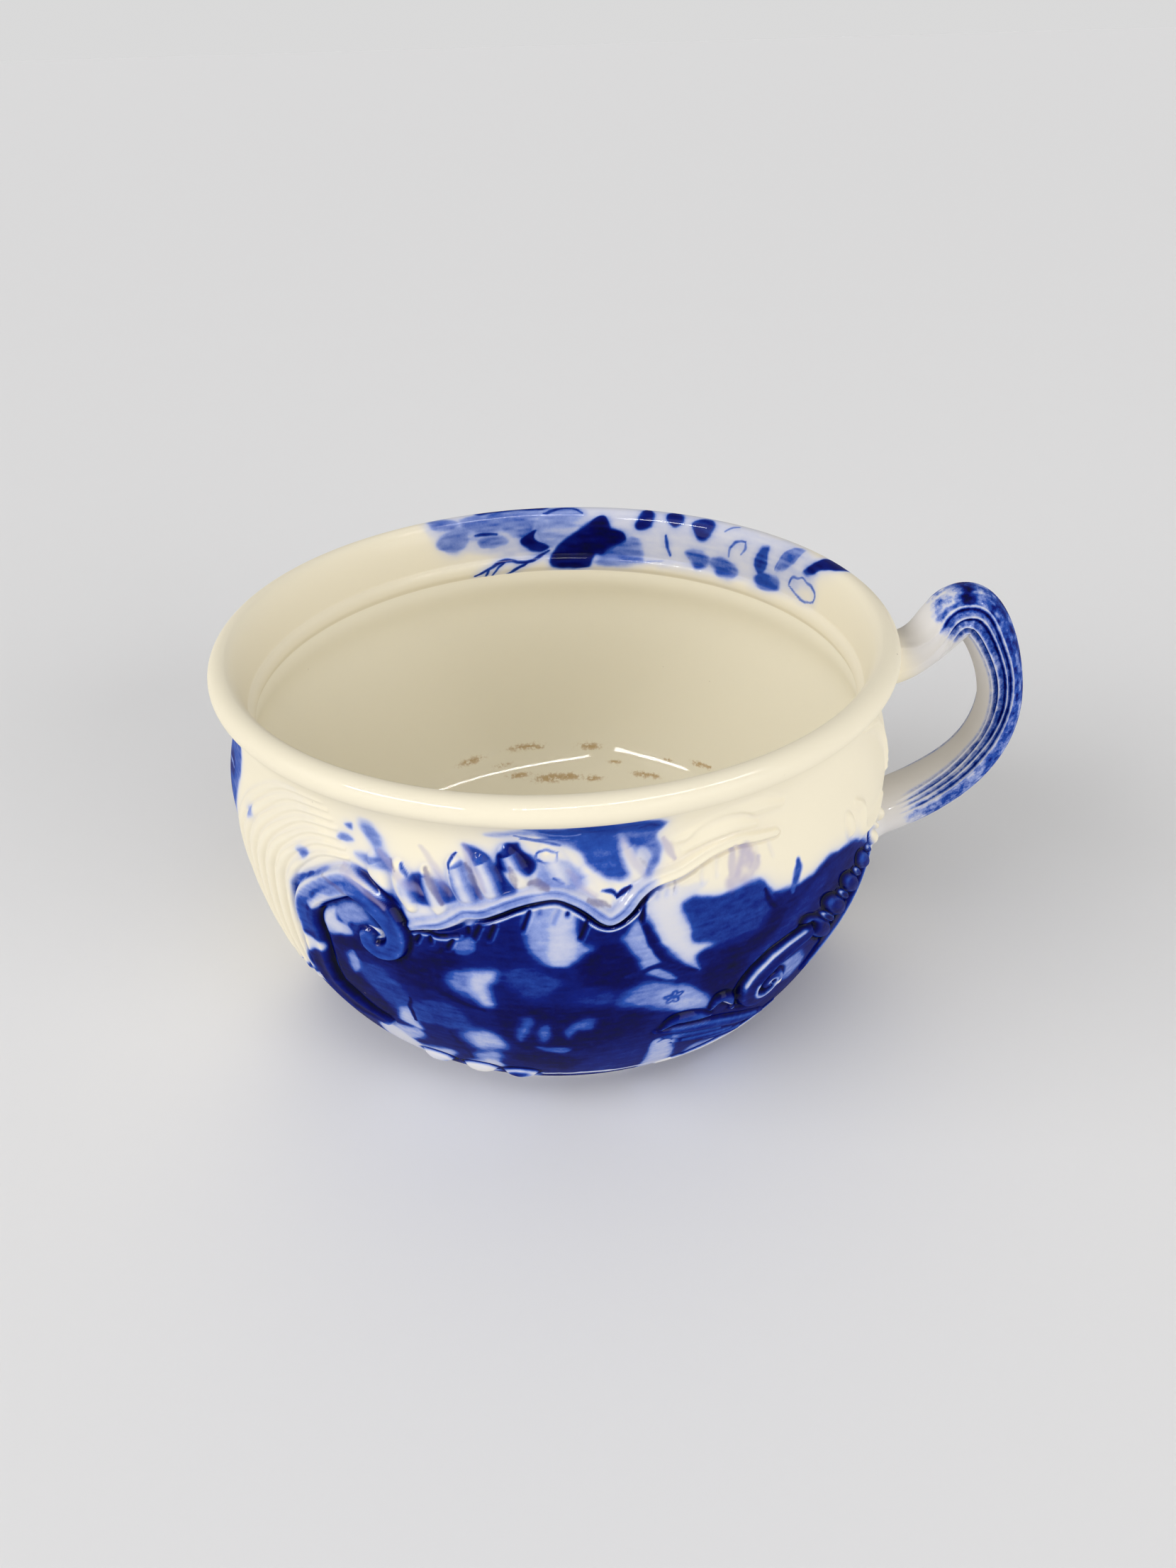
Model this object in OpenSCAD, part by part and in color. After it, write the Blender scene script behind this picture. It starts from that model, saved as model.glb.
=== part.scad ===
// Moulded earthenware chamber pot with a rolled lip, a ribbed loop handle and raised scrollwork.
// Millimetres. The foot's resting plane is z = 0, the axis is Z, the handle points along +X.

/* [Bowl] */
// Diameter over the rolled lip
rim_d = 230; // [210:1:250]
// Height from the table to the top of the lip
pot_h = 132; // [120:1:150]
// How far the belly's widest line is set in from the edge of the rim
belly_inset = 0.5; // [-6:0.5:6]
// How far the belly's widest line lies below the rim
belly_drop = 44; // [40:1:50]
// How far the neck is set in from the edge of the rim
neck_inset = 5.5; // [4:0.5:9]
// How far the neck lies below the rim
neck_drop = 17; // [15:0.5:22]
// Thickness of the wall
wall_t = 5.5; // [4:0.1:7]
// Diameter of the roll along the edge of the lip
lip_roll_d = 9.2; // [8:0.1:11]
// How soon the wall swings out above the foot
flank_swing = 2.1; // [1.7:0.1:2.6]
// How full the wall is between foot and belly
flank_fullness = 1.5; // [1.3:0.1:1.8]

/* [Foot and floor] */
// Diameter of the foot where it meets the table
foot_d = 164; // [146:1:176]
// Height of the upright edge of the foot
foot_h = 3; // [2:0.5:5]
// Width of the ring that rests on the table
foot_ring_w = 9; // [6:0.5:14]
// Depth of the hollow under the base
base_hollow = 2.5; // [1:0.5:4]
// Height of the floor inside, above the table
floor_z = 9; // [8:0.5:13]
// Height of the seam roll's hollow corner above the floor
seam_h = 16; // [10:1:24]
// How far the seam roll reaches in over the base
seam_lap = 5; // [3:1:10]

/* [Handle] */
// How far the handle stands out past the rim
handle_reach = 49; // [44:1:60]
// How far the top of the handle rises above the rim
handle_rise = 8; // [2:1:14]
// How far the upper end lies below the rim
upper_root_drop = 19; // [17:0.5:24]
// How far the lower end lies below the rim
lower_root_drop = 83; // [74:1:90]
// Width of the handle at the grip, side to side
handle_w = 21.5; // [17:0.5:25]
// Thickness of the handle at the grip
handle_t = 14.5; // [11:0.5:17]
// How much thicker the handle is at its crest
crest_swell = 3.5; // [0:0.5:5]
// How much narrower the handle is at its upper end
upper_taper = 3.5; // [0:0.5:6]
// How much thicker and wider the handle is at its lower end
lower_swell = 3; // [0:0.5:5]
// Ribs round the outer side of the handle
rib_count = 9; // [5:2:9]
// Depth of the grooves between the ribs
rib_depth = 1.2; // [0.6:0.1:1.6]
// Degrees that the ribs turn down round the handle towards its upper end
rib_turn = 50; // [0:5:60]
// Thickness of the slip between handle and wall
slip_t = 3; // [2:0.5:5]

/* [Scrolls and ribbon] */
// Height of the scrolls
scroll_h = 2.4; // [1.2:0.1:3]
// Width of the big scrolls
scroll_w = 8.4; // [6:0.2:8.8]
// Radius at which the big scroll starts to curl
coil_r = 12.5; // [10:0.5:13]
// Radius at which the big scroll's curl ends
curl_end_r = 4.8; // [4:0.2:6]
// Width of the scrolls beside the handle
handle_scroll_w = 7.2; // [5:0.2:8]
// Radius of the coil beside the handle
handle_coil_r = 11.5; // [9:0.5:12.5]
// Radius at which the coil beside the handle ends in its eye
eye_r = 1.6; // [1:0.1:2.4]
// Height of the wavy ribbon
ribbon_h = 2; // [1:0.1:3]
// Width of the wavy ribbon
ribbon_w = 5.6; // [4:0.2:6.4]

/* [Flutes, leaves and beads] */
// Height of the flutes, gadroons and curls
flute_h = 1.5; // [0.8:0.1:2]
// Width of the shell flutes
flute_w = 4.4; // [3:0.2:4.8]
// Shell flutes on each side
flute_count = 6; // [3:1:7]
// Width of the gadroons
gadroon_w = 6; // [4:0.2:6.6]
// Gadroons under the lip on each side
gadroon_count = 9; // [5:1:9]
// Width of the curls beside the handle
curl_w = 3.8; // [2.6:0.2:4.4]
// Length of the bead between the curls
curl_bead_l = 9; // [6:0.5:10]
// Width of the bead between the curls
curl_bead_w = 4.6; // [3:0.2:5]
// Width of the leaf's lobes
leaf_w = 4.8; // [3:0.2:5.2]
// Height of the leaf's lobes
leaf_h = 1.9; // [1:0.1:2.6]
// Beads in the chain beside the handle
chain_count = 7; // [4:1:8]
// Length of the chain's first bead
chain_bead_l = 7; // [5:0.5:8]
// Width of the chain's first bead
chain_bead_w = 4.2; // [3:0.2:4.6]
// Height of the chain's beads
bead_h = 2.2; // [1:0.1:3]
// Length of the beads along the foot
foot_bead_l = 10.4; // [7:0.2:11]
// Width of the beads along the foot
foot_bead_w = 7; // [5:0.2:8]
// Height of the beads along the foot
foot_bead_h = 2.8; // [1:0.1:3.4]

/* [Hidden] */

$fn = 96;
cream = "#f3ead2";
pale_blue = "#8fa4d8";
mid_blue = "#3a5cb4";
cobalt = "#12206e";

// Clearance of raised ornament and slip on the wall, and of the base in its bore
seat_gap = 0.2;

// Bowl
rim_r = rim_d / 2;
belly_r = rim_r - belly_inset;
neck_r = rim_r - neck_inset;
foot_r = foot_d / 2;
roll_r = lip_roll_d / 2;
belly_z = pot_h - belly_drop;
neck_z = pot_h - neck_drop;
bat_r = foot_r - foot_ring_w;
lip_centre = [rim_r - roll_r, pot_h - roll_r];
// Directions on the roll where the outside of the neck and the inside of the flare run into it
lip_under = -60;
lip_over = 100;
lip_foot = lip_centre + roll_r * [cos(lip_under), sin(lip_under)];
lip_top = lip_centre + roll_r * [cos(lip_over), sin(lip_over)];
flank_steps = 26;
shoulder_steps = 10;
flare_steps = 8;

// Radius of the outside at height z
function outer_r(z) =
    z <= foot_h ? foot_r
    : z <= belly_z ? foot_r + (belly_r - foot_r) * flank_share((z - foot_h) / (belly_z - foot_h))
    : z <= neck_z ? neck_r + (belly_r - neck_r) * (1 + cos(180 * (z - belly_z) / (neck_z - belly_z))) / 2
    : neck_r + (lip_foot.x - neck_r) * pow((z - neck_z) / (lip_foot.y - neck_z), 2);
function flank_share(t) = pow(1 - pow(1 - t, flank_swing), 1 / flank_fullness);

// Heights at which the outside is drawn: close together above the foot, where it turns fastest
flank_crowding = 1.7;
flank_zs = [for (i = [0:flank_steps]) foot_h + (belly_z - foot_h) * pow(i / flank_steps, flank_crowding)];
shoulder_zs = [for (i = [1:shoulder_steps]) belly_z + (neck_z - belly_z) * i / shoulder_steps];
flare_zs = [for (i = [1:flare_steps]) neck_z + (lip_foot.y - neck_z) * i / flare_steps];

// Slope of the outside, its unit normal, and the inside that lies a wall's thickness behind it
slope_dz = 0.02;
function slope(z) = (outer_r(z + slope_dz) - outer_r(z - slope_dz)) / (2 * slope_dz);
function normal(z) = [1, -slope(z)] / norm([1, slope(z)]);
function inner_point(z) = [outer_r(z), z] - wall_t * normal(z);

function bezier(a, b, c, d, t) =
    pow(1 - t, 3) * a + 3 * t * pow(1 - t, 2) * b + 3 * t * t * (1 - t) * c + pow(t, 3) * d;

// Inside of the flare, from the roll down to the throat
throat = inner_point(neck_z);
flare_lead = 0.3 * (lip_top.x - throat.x);
flare_fall = 0.6 * (lip_top.y - throat.y);
flare_in = [
    for (i = [0:flare_steps])
        bezier(
            lip_top,
            lip_top + flare_lead * [-sin(lip_over), cos(lip_over)],
            throat + [0, flare_fall],
            throat,
            i / flare_steps
        )
];

// Inside of the belly from the throat down to the floor, clear of the points at its two ends
end_clear = 0.3;
inside_zs = [
    for (z = concat(flank_zs, shoulder_zs))
        if (z > foot_h + end_clear && z < neck_z - end_clear) z
];
inside_up = [for (z = inside_zs) let (p = inner_point(z)) if (p.y > floor_z + end_clear) p];
corner = [inside_up[0].x - (inside_up[0].y - floor_z), floor_z];
inside_down = [for (i = [len(inside_up) - 1:-1:0]) inside_up[i]];

module wall() {
    color(cream)
        rotate_extrude() {
            polygon(concat(
                [[bat_r, 0], [foot_r, 0]],
                [for (z = flank_zs) [outer_r(z), z]],
                [for (z = shoulder_zs) [outer_r(z), z]],
                [for (z = flare_zs) [outer_r(z), z]],
                [lip_centre],
                flare_in,
                inside_down,
                [corner, [bat_r, floor_z]]
            ));
            translate(lip_centre)
                circle(roll_r);
        }
}

module base() {
    color(cream)
        translate([0, 0, base_hollow])
            cylinder(r = bat_r - seat_gap, h = floor_z - base_hollow);
}

// The roll fills the corner of wall and floor with a hollow curve
seam_side = [for (p = inside_up) if (p.y <= floor_z + seam_h) p];
seam_top = seam_side[len(seam_side) - 1];
seam_below = seam_side[len(seam_side) - 2];
seam_run = (seam_below - seam_top) / norm(seam_below - seam_top);
seam_in = [bat_r - seam_lap, floor_z];
seam_wall_lead = 0.24 * (seam_top.x - seam_in.x);
seam_floor_lead = 0.3 * (seam_top.x - seam_in.x);
seam_steps = 10;

module seam_roll() {
    color(cream)
        rotate_extrude()
            polygon(concat(
                [corner],
                seam_side,
                [for (i = [1:seam_steps])
                    bezier(
                        seam_top,
                        seam_top + seam_wall_lead * seam_run,
                        seam_in + [seam_floor_lead, 0],
                        seam_in,
                        i / seam_steps
                    )]
            ));
}

// Solid skin over rings of equal length, closed at both ends
module skin(rings) {
    n = len(rings[0]);
    last = len(rings) - 1;
    points = [for (ring = rings) each ring];
    sides = [
        for (i = [0:last - 1], j = [0:n - 1])
            let (a = i * n + j, b = i * n + (j + 1) % n)
                each [[a, b, b + n], [a, b + n, a + n]]
    ];
    start = [for (j = [1:n - 2]) [0, j + 1, j]];
    end = [for (j = [1:n - 2]) [last * n, last * n + j, last * n + j + 1]];
    polyhedron(points, concat(sides, start, end));
}

// Handle: centre line in the XZ plane, from the upper end over the crest and the grip to the lower end
upper_root = [outer_r(pot_h - upper_root_drop), pot_h - upper_root_drop];
lower_root = [outer_r(pot_h - lower_root_drop), pot_h - lower_root_drop];
grip_lift = 14;
grip = [rim_r + handle_reach - handle_t / 2, (upper_root.y + lower_root.y) / 2 + grip_lift];
crest_share = 0.64;
crest = [
    upper_root.x + crest_share * (grip.x - upper_root.x),
    pot_h + handle_rise - (handle_t + crest_swell) / 2
];
// How far the line runs straight on at each of these places before it bends
upper_lead = [19.5, 0];
crest_lead_in = [8.5, 0];
crest_lead_out = [7, 0];
grip_lead_up = [0, 13.5];
grip_lead_down = [0, -23];
lower_lead = [27.5, 9.5];
lower_end = lower_root + [slip_t + 4, 1.8];
handle_steps = 12;
handle_bends = [
    [upper_root + [slip_t, 0], upper_root + upper_lead, crest - crest_lead_in, crest],
    [crest, crest + crest_lead_out, grip + grip_lead_up, grip],
    [grip, grip + grip_lead_down, lower_root + lower_lead, lower_end]
];
handle_line = [
    for (k = [0:2], i = [(k == 0 ? 0 : 1):handle_steps])
        let (c = handle_bends[k]) bezier(c[0], c[1], c[2], c[3], i / handle_steps)
];
handle_last = len(handle_line) - 1;
function line_run(i) =
    let (d = handle_line[min(i + 1, handle_last)] - handle_line[max(i - 1, 0)]) d / norm(d);
function fade(x, low, high) = let (t = min(max((x - low) / (high - low), 0), 1)) t * t * (3 - 2 * t);

// Half thickness and half width at share s of the line, which has its crest and its grip at thirds
crest_at = 1 / 3;
grip_at = 2 / 3;
function half_t(s) =
    let (crown = fade(s, 0, crest_at) * (1 - fade(s, crest_at, grip_at)))
    (handle_t + crest_swell * crown + lower_swell * fade(s, grip_at, 1)) / 2;
function half_w(s) =
    (handle_w - upper_taper * (1 - fade(s, 0, crest_at)) + lower_swell * fade(s, grip_at, 1)) / 2;

// Ribs: a smooth crown along the outermost line and ridges to either side, the last at ribbed_half.
// They rise out of the upper arm, where they turn towards the underside, and run out on the lower arm
ribbed_half = 108;
rib_edge = 116;
rib_pitch = 2 * ribbed_half / rib_count;
ribs_rise = [0.1, 0.25];
ribs_run_out = [0.86, 0.97];
function rib_groove(turn) = (1 - cos(360 * max(turn / rib_pitch - 0.5, 0))) / 2;
function rib_shift(s) = rib_turn * (1 - fade(s, ribs_rise[0], crest_at));
function rib_at(s) =
    rib_depth * fade(s, ribs_rise[0], ribs_rise[1]) * (1 - fade(s, ribs_run_out[0], ribs_run_out[1]));

// Outline at place i of the line: an oval, with its points close together where it is ribbed
outer_points = 48;
inner_points = 8;
ring_turns = concat(
    [for (j = [0:outer_points]) rib_edge * (2 * j / outer_points - 1)],
    [for (j = [1:inner_points - 1]) rib_edge + (360 - 2 * rib_edge) * j / inner_points]
);
function handle_ring(i, grow) =
    let (
        s = i / handle_last,
        d = line_run(i),
        outward = [-d.y, d.x]
    )
    [
        for (a = ring_turns)
            let (
                turn = min(abs(a), 360 - a),
                deepest = rib_at(s) * (1 - fade(turn, ribbed_half, rib_edge)),
                groove = deepest * rib_groove(turn - rib_shift(s)),
                p = handle_line[i] + grow * (half_t(s) - groove) * cos(a) * outward
            )
            [p.x, grow * (half_w(s) - groove) * sin(a), p.y]
    ];

module handle() {
    color(mid_blue)
        skin([for (i = [0:handle_last]) handle_ring(i, 1)]);
}

// Slip: fills the space between an end of the handle and the wall, and spreads on the wall
slip_waist = 0.4;
slip_seats = [1.16, 0.75, 0.35];
slip_reach = 4 * slip_t + 10;
travel_halvings = 20;
function wall_gap(p) = norm([p.x, p.y]) - outer_r(p.z) - seat_gap;
function travel(p, d, low, high, n) =
    let (mid = (low + high) / 2)
    n == 0 ? mid
    : wall_gap(p + mid * d) > 0 ? travel(p, d, mid, high, n - 1)
    : travel(p, d, low, mid, n - 1);
function on_to_wall(ring, d) =
    [for (p = ring) p + travel(p, d, -slip_t, slip_reach, travel_halvings) * d];

module slip(i, run) {
    d = [run.x, 0, run.y];
    near = handle_ring(i, 1);
    waist = (1 - slip_waist) * near + slip_waist * on_to_wall(near, d);
    seat = [for (grow = slip_seats) on_to_wall(handle_ring(i, grow), d)];
    color(cream)
        skin(i == 0 ? [seat[2], seat[1], seat[0], waist, near] : [near, waist, seat[0], seat[1], seat[2]]);
}

module upper_slip() {
    slip(0, -line_run(0));
}

module lower_slip() {
    slip(handle_last, line_run(handle_last));
}

// Places on the wall are [degrees from the front, height]. Layouts give the height as a share:
// below nought of the way from the belly line down to the foot, above it of the way up to the neck
front = 270;
function share_z(s) = belly_z + s * (s < 0 ? belly_z - foot_h : neck_z - belly_z);
function laid(places) = [for (p = places) [p[0], share_z(p[1])]];
function on_wall(p, h) =
    let (n = normal(p[1]), r = outer_r(p[1]) + h * n.x)
    [r * cos(front + p[0]), r * sin(front + p[0]), p[1] + h * n.y];
function stretch(p) = norm([1, slope(p[1])]);
function girth(p) = outer_r(p[1]) * PI / 180;
// The place reached from p by a step along the girth and a step up the wall, in millimetres
function stepped(p, along, up) = p + [along / girth(p), up / stretch(p)];
function heading(p, q) =
    let (m = (p + q) / 2, d = [(q[0] - p[0]) * girth(m), (q[1] - p[1]) * stretch(m)]) d / norm(d);

// Smooth line through a few places, with steps places for each stretch
function smooth(ps, steps) =
    let (last = len(ps) - 1)
    [
        for (i = [0:last - 1], k = [0:steps - (i == last - 1 ? 0 : 1)])
            let (
                t = k / steps,
                a = ps[max(i - 1, 0)],
                b = ps[i],
                c = ps[i + 1],
                d = ps[min(i + 2, last)]
            )
            bezier(b, b + (c - a) / 6, c - (d - b) / 6, c, t)
    ];

// Coil about a centre, in millimetres on the wall, from one direction to another
coil_tightness = 1.8;
function coil(centre, from, to, start_r, end_r, n) =
    [
        for (i = [0:n])
            let (
                t = i / n,
                a = from + (to - from) * t,
                r = end_r + (start_r - end_r) * pow(1 - t, coil_tightness)
            )
            stepped(centre, r * cos(a), r * sin(a))
    ];

round_section = [[-1, 0], [-0.62, 0.74], [0, 1], [0.62, 0.74], [1, 0], [0, 0.06]];
rolled_section = [[-1, 0], [-0.8, 0.95], [-0.45, 0.5], [0.3, 0.55], [0.72, 1], [1, 0], [0, 0.06]];

// A band raised along a line on the wall: swell(t) gives its share of width, and of most of its height
kept_height = 0.35;
module raised_band(line, w, h, section, swell) {
    last = len(line) - 1;
    skin([
        for (i = [0:last])
            let (
                d = heading(line[max(i - 1, 0)], line[min(i + 1, last)]),
                k = swell(i / last)
            )
            [
                for (q = section)
                    on_wall(
                        stepped(line[i], -d[1] * q[0] * k * w / 2, d[0] * q[0] * k * w / 2),
                        seat_gap + q[1] * h * (kept_height + (1 - kept_height) * k)
                    )
            ]
    ]);
}

// A bead raised on the wall: length, width, height and the turn of its length from the girth.
// Its tiers, from the seat to the top, are shares of its size and of its height
bead_sides = 12;
bead_tiers = [[0.5, 0], [1, 0], [0.86, 0.62], [0.45, 0.94]];
module raised_bead(centre, l, w, h, turn) {
    skin([
        for (tier = bead_tiers)
            [
                for (j = [0:bead_sides - 1])
                    let (
                        a = -360 * j / bead_sides,
                        x = tier[0] * l / 2 * cos(a),
                        y = tier[0] * w / 2 * sin(a)
                    )
                    on_wall(
                        stepped(centre, x * cos(turn) - y * sin(turn), x * sin(turn) + y * cos(turn)),
                        seat_gap + tier[1] * h
                    )
            ]
    ]);
}

// Ornament is the same on the front and, mirrored, on the back
module both_sides() {
    children();
    mirror([0, 1, 0])
        children();
}

spindle = function(t) 0.25 + 0.75 * sin(180 * min(max(t, 0.02), 0.98));
taper_in = function(t) 1 - 0.68 * t;
blunt = function(t) 0.4 + 0.6 * min(1, 6 * t, 6 * (1 - t));

// Big scroll: up from the foot, over the top and round into its eye
scroll_stem = laid([
    [-32, -0.6], [-37, -0.553], [-41, -0.47], [-42, -0.306],
    [-42, -0.141], [-39.8, -0.012], [-36, 0.185], [-31.5, 0.281]
]);
scroll_eye = [-27.3, share_z(-0.088)];
coil_steps = 22;
// Directions from the eye at which the curl starts and ends
curl_from = 98;
curl_to = -215;
scroll_coil = coil(scroll_eye, curl_from, curl_to, coil_r, curl_end_r, coil_steps);
scroll_swell = function(t) t < 0.6 ? 0.5 + 0.5 * fade(t, 0, 0.15) : 1 - 0.6 * fade(t, 0.6, 1);

module volute_scrolls() {
    color(mid_blue)
        both_sides()
            raised_band(
                concat(smooth(scroll_stem, 3), scroll_coil), scroll_w, scroll_h, round_section, scroll_swell
            );
}

// Ribbon that waves along under the gadroons
ribbon_line = laid([
    [-18.8, 0.05], [-16, 0.12], [-12, 0.26], [-8.5, 0.32], [-5.5, 0.42], [-1.4, 0.48],
    [1.2, 0.44], [4, 0.32], [7.2, 0.185], [9.2, 0.28], [11, 0.43], [14, 0.53],
    [18, 0.585], [22.8, 0.744], [27, 0.763], [30.7, 0.696], [34.5, 0.67]
]);

module ribbon_borders() {
    color(pale_blue)
        both_sides()
            raised_band(smooth(ribbon_line, 2), ribbon_w, ribbon_h, rolled_section, blunt);
}

// Scroll beside the handle, coiled the other way
handle_scroll_eye = [36.5, share_z(-0.5)];
handle_scroll_stem = laid([[43, -0.3235], [39, -0.329], [35.5, -0.353]]);
handle_coil_from = 128;
handle_coil_to = 600;
handle_scroll_coil = coil(
    handle_scroll_eye, handle_coil_from, handle_coil_to, handle_coil_r, eye_r, coil_steps
);

module handle_scrolls() {
    color(cobalt)
        both_sides()
            raised_band(
                concat(handle_scroll_stem, handle_scroll_coil),
                handle_scroll_w, scroll_h, round_section, taper_in
            );
}

// Chain of beads that climbs from that scroll towards the handle, smaller bead by bead
chain_from = [46.5, share_z(-0.312)];
chain_to = [68, share_z(-0.106)];
chain_turn = 110;
chain_taper = 0.28;

module bead_chains() {
    color(mid_blue)
        both_sides()
            for (k = [0:chain_count - 1]) {
                t = k / (chain_count - 1);
                size = 1 - chain_taper * t;
                raised_bead(
                    chain_from + t * (chain_to - chain_from),
                    chain_bead_l * size, chain_bead_w * size, bead_h, chain_turn
                );
            }
}

// Acanthus leaf: a stem along the lower belly and the lobes that rise from it
leaf_stem = laid([[15, -0.553], [20, -0.576], [26, -0.612], [33, -0.682], [40, -0.753]]);
leaf_tips = laid([[16.5, -0.5], [21.5, -0.465], [26.5, -0.435]]);
leaf_roots = laid([[21.5, -0.541], [26, -0.555], [29, -0.565]]);
leaf_bow = [-0.6, 1.2];

module acanthus_leaves() {
    color(pale_blue)
        both_sides() {
            raised_band(smooth(leaf_stem, 2), leaf_w, leaf_h, round_section, spindle);
            for (k = [0:len(leaf_tips) - 1])
                raised_band(
                    smooth([leaf_roots[k], (leaf_tips[k] + leaf_roots[k]) / 2 + leaf_bow, leaf_tips[k]], 3),
                    leaf_w, leaf_h, round_section, spindle
                );
        }
}

// Beads along the foot, where the big scroll runs out
foot_bead_at = [-25, -16.4, -8.6];
foot_bead_z = foot_h + 9;
foot_bead_turn = 6;

module foot_beads() {
    color(cream)
        both_sides()
            for (a = foot_bead_at)
                raised_bead([a, foot_bead_z], foot_bead_l, foot_bead_w, foot_bead_h, foot_bead_turn);
}

// Flutes that fan up the side opposite the handle and bend over towards the big scroll
function flute_line(k) = laid([
    [-47 - 3.4 * k, -0.541], [-46.8 - 3.4 * k, -0.306], [-45.4 - 3.2 * k, -0.071],
    [-44.2 - 3 * k, 0.015 + 0.0185 * k], [-42.2 - 2.6 * k, 0.23 + 0.052 * k],
    [-37.4 - 1.7 * k, 0.48 + 0.085 * k], [-32 - 0.8 * k, 0.556 + 0.0926 * k]
]);
flute_swell = function(t) t < 0.4 ? 0.6 + 0.4 * fade(t, 0, 0.3) : 1 - 0.62 * fade(t, 0.4, 0.85);

module shell_flutes() {
    color(cream)
        both_sides()
            for (k = [0:flute_count - 1])
                raised_band(smooth(flute_line(k), 2), flute_w, flute_h, round_section, flute_swell);
}

// Slanting gadroons between the ribbon and the neck
gadroon_from = -26.8;
gadroon_pitch = 5.6;
gadroon_slant = -4.5;
gadroon_bow = 0.6;
gadroon_clear = 2.4;
gadroon_low = share_z(0.52);
gadroon_top = share_z(1.15);

// Wavy ridge that runs on from the gadroons towards the handle
wavy_ridge = laid([[19.5, 0.94], [23.5, 0.98], [28.9, 1.05], [33, 1.01], [36, 0.95]]);

module neck_gadroons() {
    color(cream)
        both_sides() {
            for (k = [0:gadroon_count - 1]) {
                a = gadroon_from + gadroon_pitch * k;
                foot = max(lookup(a, ribbon_line) + ribbon_w / 2 + gadroon_clear, gadroon_low);
                bow = [a + gadroon_bow * gadroon_slant, (foot + gadroon_top) / 2];
                raised_band(
                    smooth([[a, foot], bow, [a + gadroon_slant, gadroon_top]], 3),
                    gadroon_w, flute_h, round_section, spindle
                );
            }
            raised_band(smooth(wavy_ridge, 2), curl_w, flute_h, round_section, spindle);
        }
}

// Curled ridges in the plain field beside the handle
curl_high = laid([[60, 1.07], [66, 0.963], [70.5, 0.741], [73, 0.407], [72, 0.111]]);
curl_low = laid([[54.6, 0.37], [56.6, 0.222], [56.2, 0], [58.4, -0.04], [63, -0.049], [68, -0.0235]]);
curl_bead = [52, share_z(0.126)];
curl_turn = 100;

module handle_curls() {
    color(cream)
        both_sides() {
            raised_band(smooth(curl_high, 3), curl_w, flute_h, round_section, spindle);
            raised_band(smooth(curl_low, 3), curl_w, flute_h, round_section, spindle);
            raised_bead(curl_bead, curl_bead_l, curl_bead_w, flute_h, curl_turn);
        }
}

wall();
base();
seam_roll();
handle();
upper_slip();
lower_slip();
volute_scrolls();
ribbon_borders();
handle_scrolls();
bead_chains();
acanthus_leaves();
foot_beads();
shell_flutes();
neck_gadroons();
handle_curls();
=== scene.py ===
"""Glazed surfaces of a moulded chamber pot: raised scrolls, blurred blue print and a ribbed handle."""

import math

import bpy
import numpy as np
from bpy.props import FloatProperty, FloatVectorProperty, PointerProperty
from mathutils import Matrix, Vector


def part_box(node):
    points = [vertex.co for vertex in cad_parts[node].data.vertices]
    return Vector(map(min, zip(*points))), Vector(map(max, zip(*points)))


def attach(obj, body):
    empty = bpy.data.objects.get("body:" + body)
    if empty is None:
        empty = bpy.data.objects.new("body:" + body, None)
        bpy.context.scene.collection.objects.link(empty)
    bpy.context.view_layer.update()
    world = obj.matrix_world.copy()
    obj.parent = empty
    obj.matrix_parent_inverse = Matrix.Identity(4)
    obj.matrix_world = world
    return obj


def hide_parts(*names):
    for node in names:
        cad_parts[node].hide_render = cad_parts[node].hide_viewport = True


bl_info = {
    "name": "Blue printed chamber pot",
    "version": (1, 0, 0),
    "blender": (4, 5, 0),
    "location": "3D View > Sidebar > Pot",
    "description": "Builds the glazed surfaces of a chamber pot over its solid frame",
    "category": "Add Mesh",
}

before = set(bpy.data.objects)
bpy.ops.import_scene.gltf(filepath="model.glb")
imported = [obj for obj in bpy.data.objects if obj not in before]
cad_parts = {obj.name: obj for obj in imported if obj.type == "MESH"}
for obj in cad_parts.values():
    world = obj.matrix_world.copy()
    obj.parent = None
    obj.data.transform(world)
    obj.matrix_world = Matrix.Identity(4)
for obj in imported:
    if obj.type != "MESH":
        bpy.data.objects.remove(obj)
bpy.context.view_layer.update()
WALL_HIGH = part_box("wall")[1]
HANDLE_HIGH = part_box("handle")[1]

# The photograph's frame, and the distance at which one pixel is one unit wide, in pixels
PHOTO_SIZE = (1659, 2212)
PHOTO_FOCUS = 1660
# How far the camera looks down and is rolled, and its place in metres
CAMERA_RISE, CAMERA_ROLL = math.radians(32.58), math.radians(-1.68)
CAMERA_PLACE = (0.009757, -0.36694, 0.29959)
SENSOR_WIDTH = 36

# Soft suns: the stage's strength that each one takes, and the direction it comes from
SUNS = (("overhead", (0.05, -0.5, 0.85)), ("left", (-0.8, -0.35, 0.42)), ("right", (0.72, -0.66, 0.15)))
SUN_SPREAD = math.radians(50)
# Lamps that show only as glints in the glaze: name, place, width and height in metres
GLINT_LAMPS = (
    ("window glint", (-0.6, -0.55, 0.62), (0.6, 0.06)),
    ("ceiling glint", (0.3, -0.5, 0.9), (1.2, 0.05)),
)
# Where the glint lamps point, and how far the floor reaches each way, in metres
GLINT_AIM = (0, 0, 0.08)
FLOOR_REACH = 40

# Millimetres that one degree spans, near enough, on the outside of the belly and inside the lip
GIRTH = 2.0
LIP_GIRTH = 1.85

# Steps of the outside's profile when its length is measured
PROFILE_STEPS = 4000
# How far round its roll the lip's profile starts and ends
LIP_UNDER, LIP_OVER = math.radians(-60), math.radians(100)
# Bead at the throat: from the throat to the crease above it and to its nose, out and up
BEAD_CREASE, BEAD_NOSE = np.array((0.9, 7)), np.array((-1.1, 3))
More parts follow.
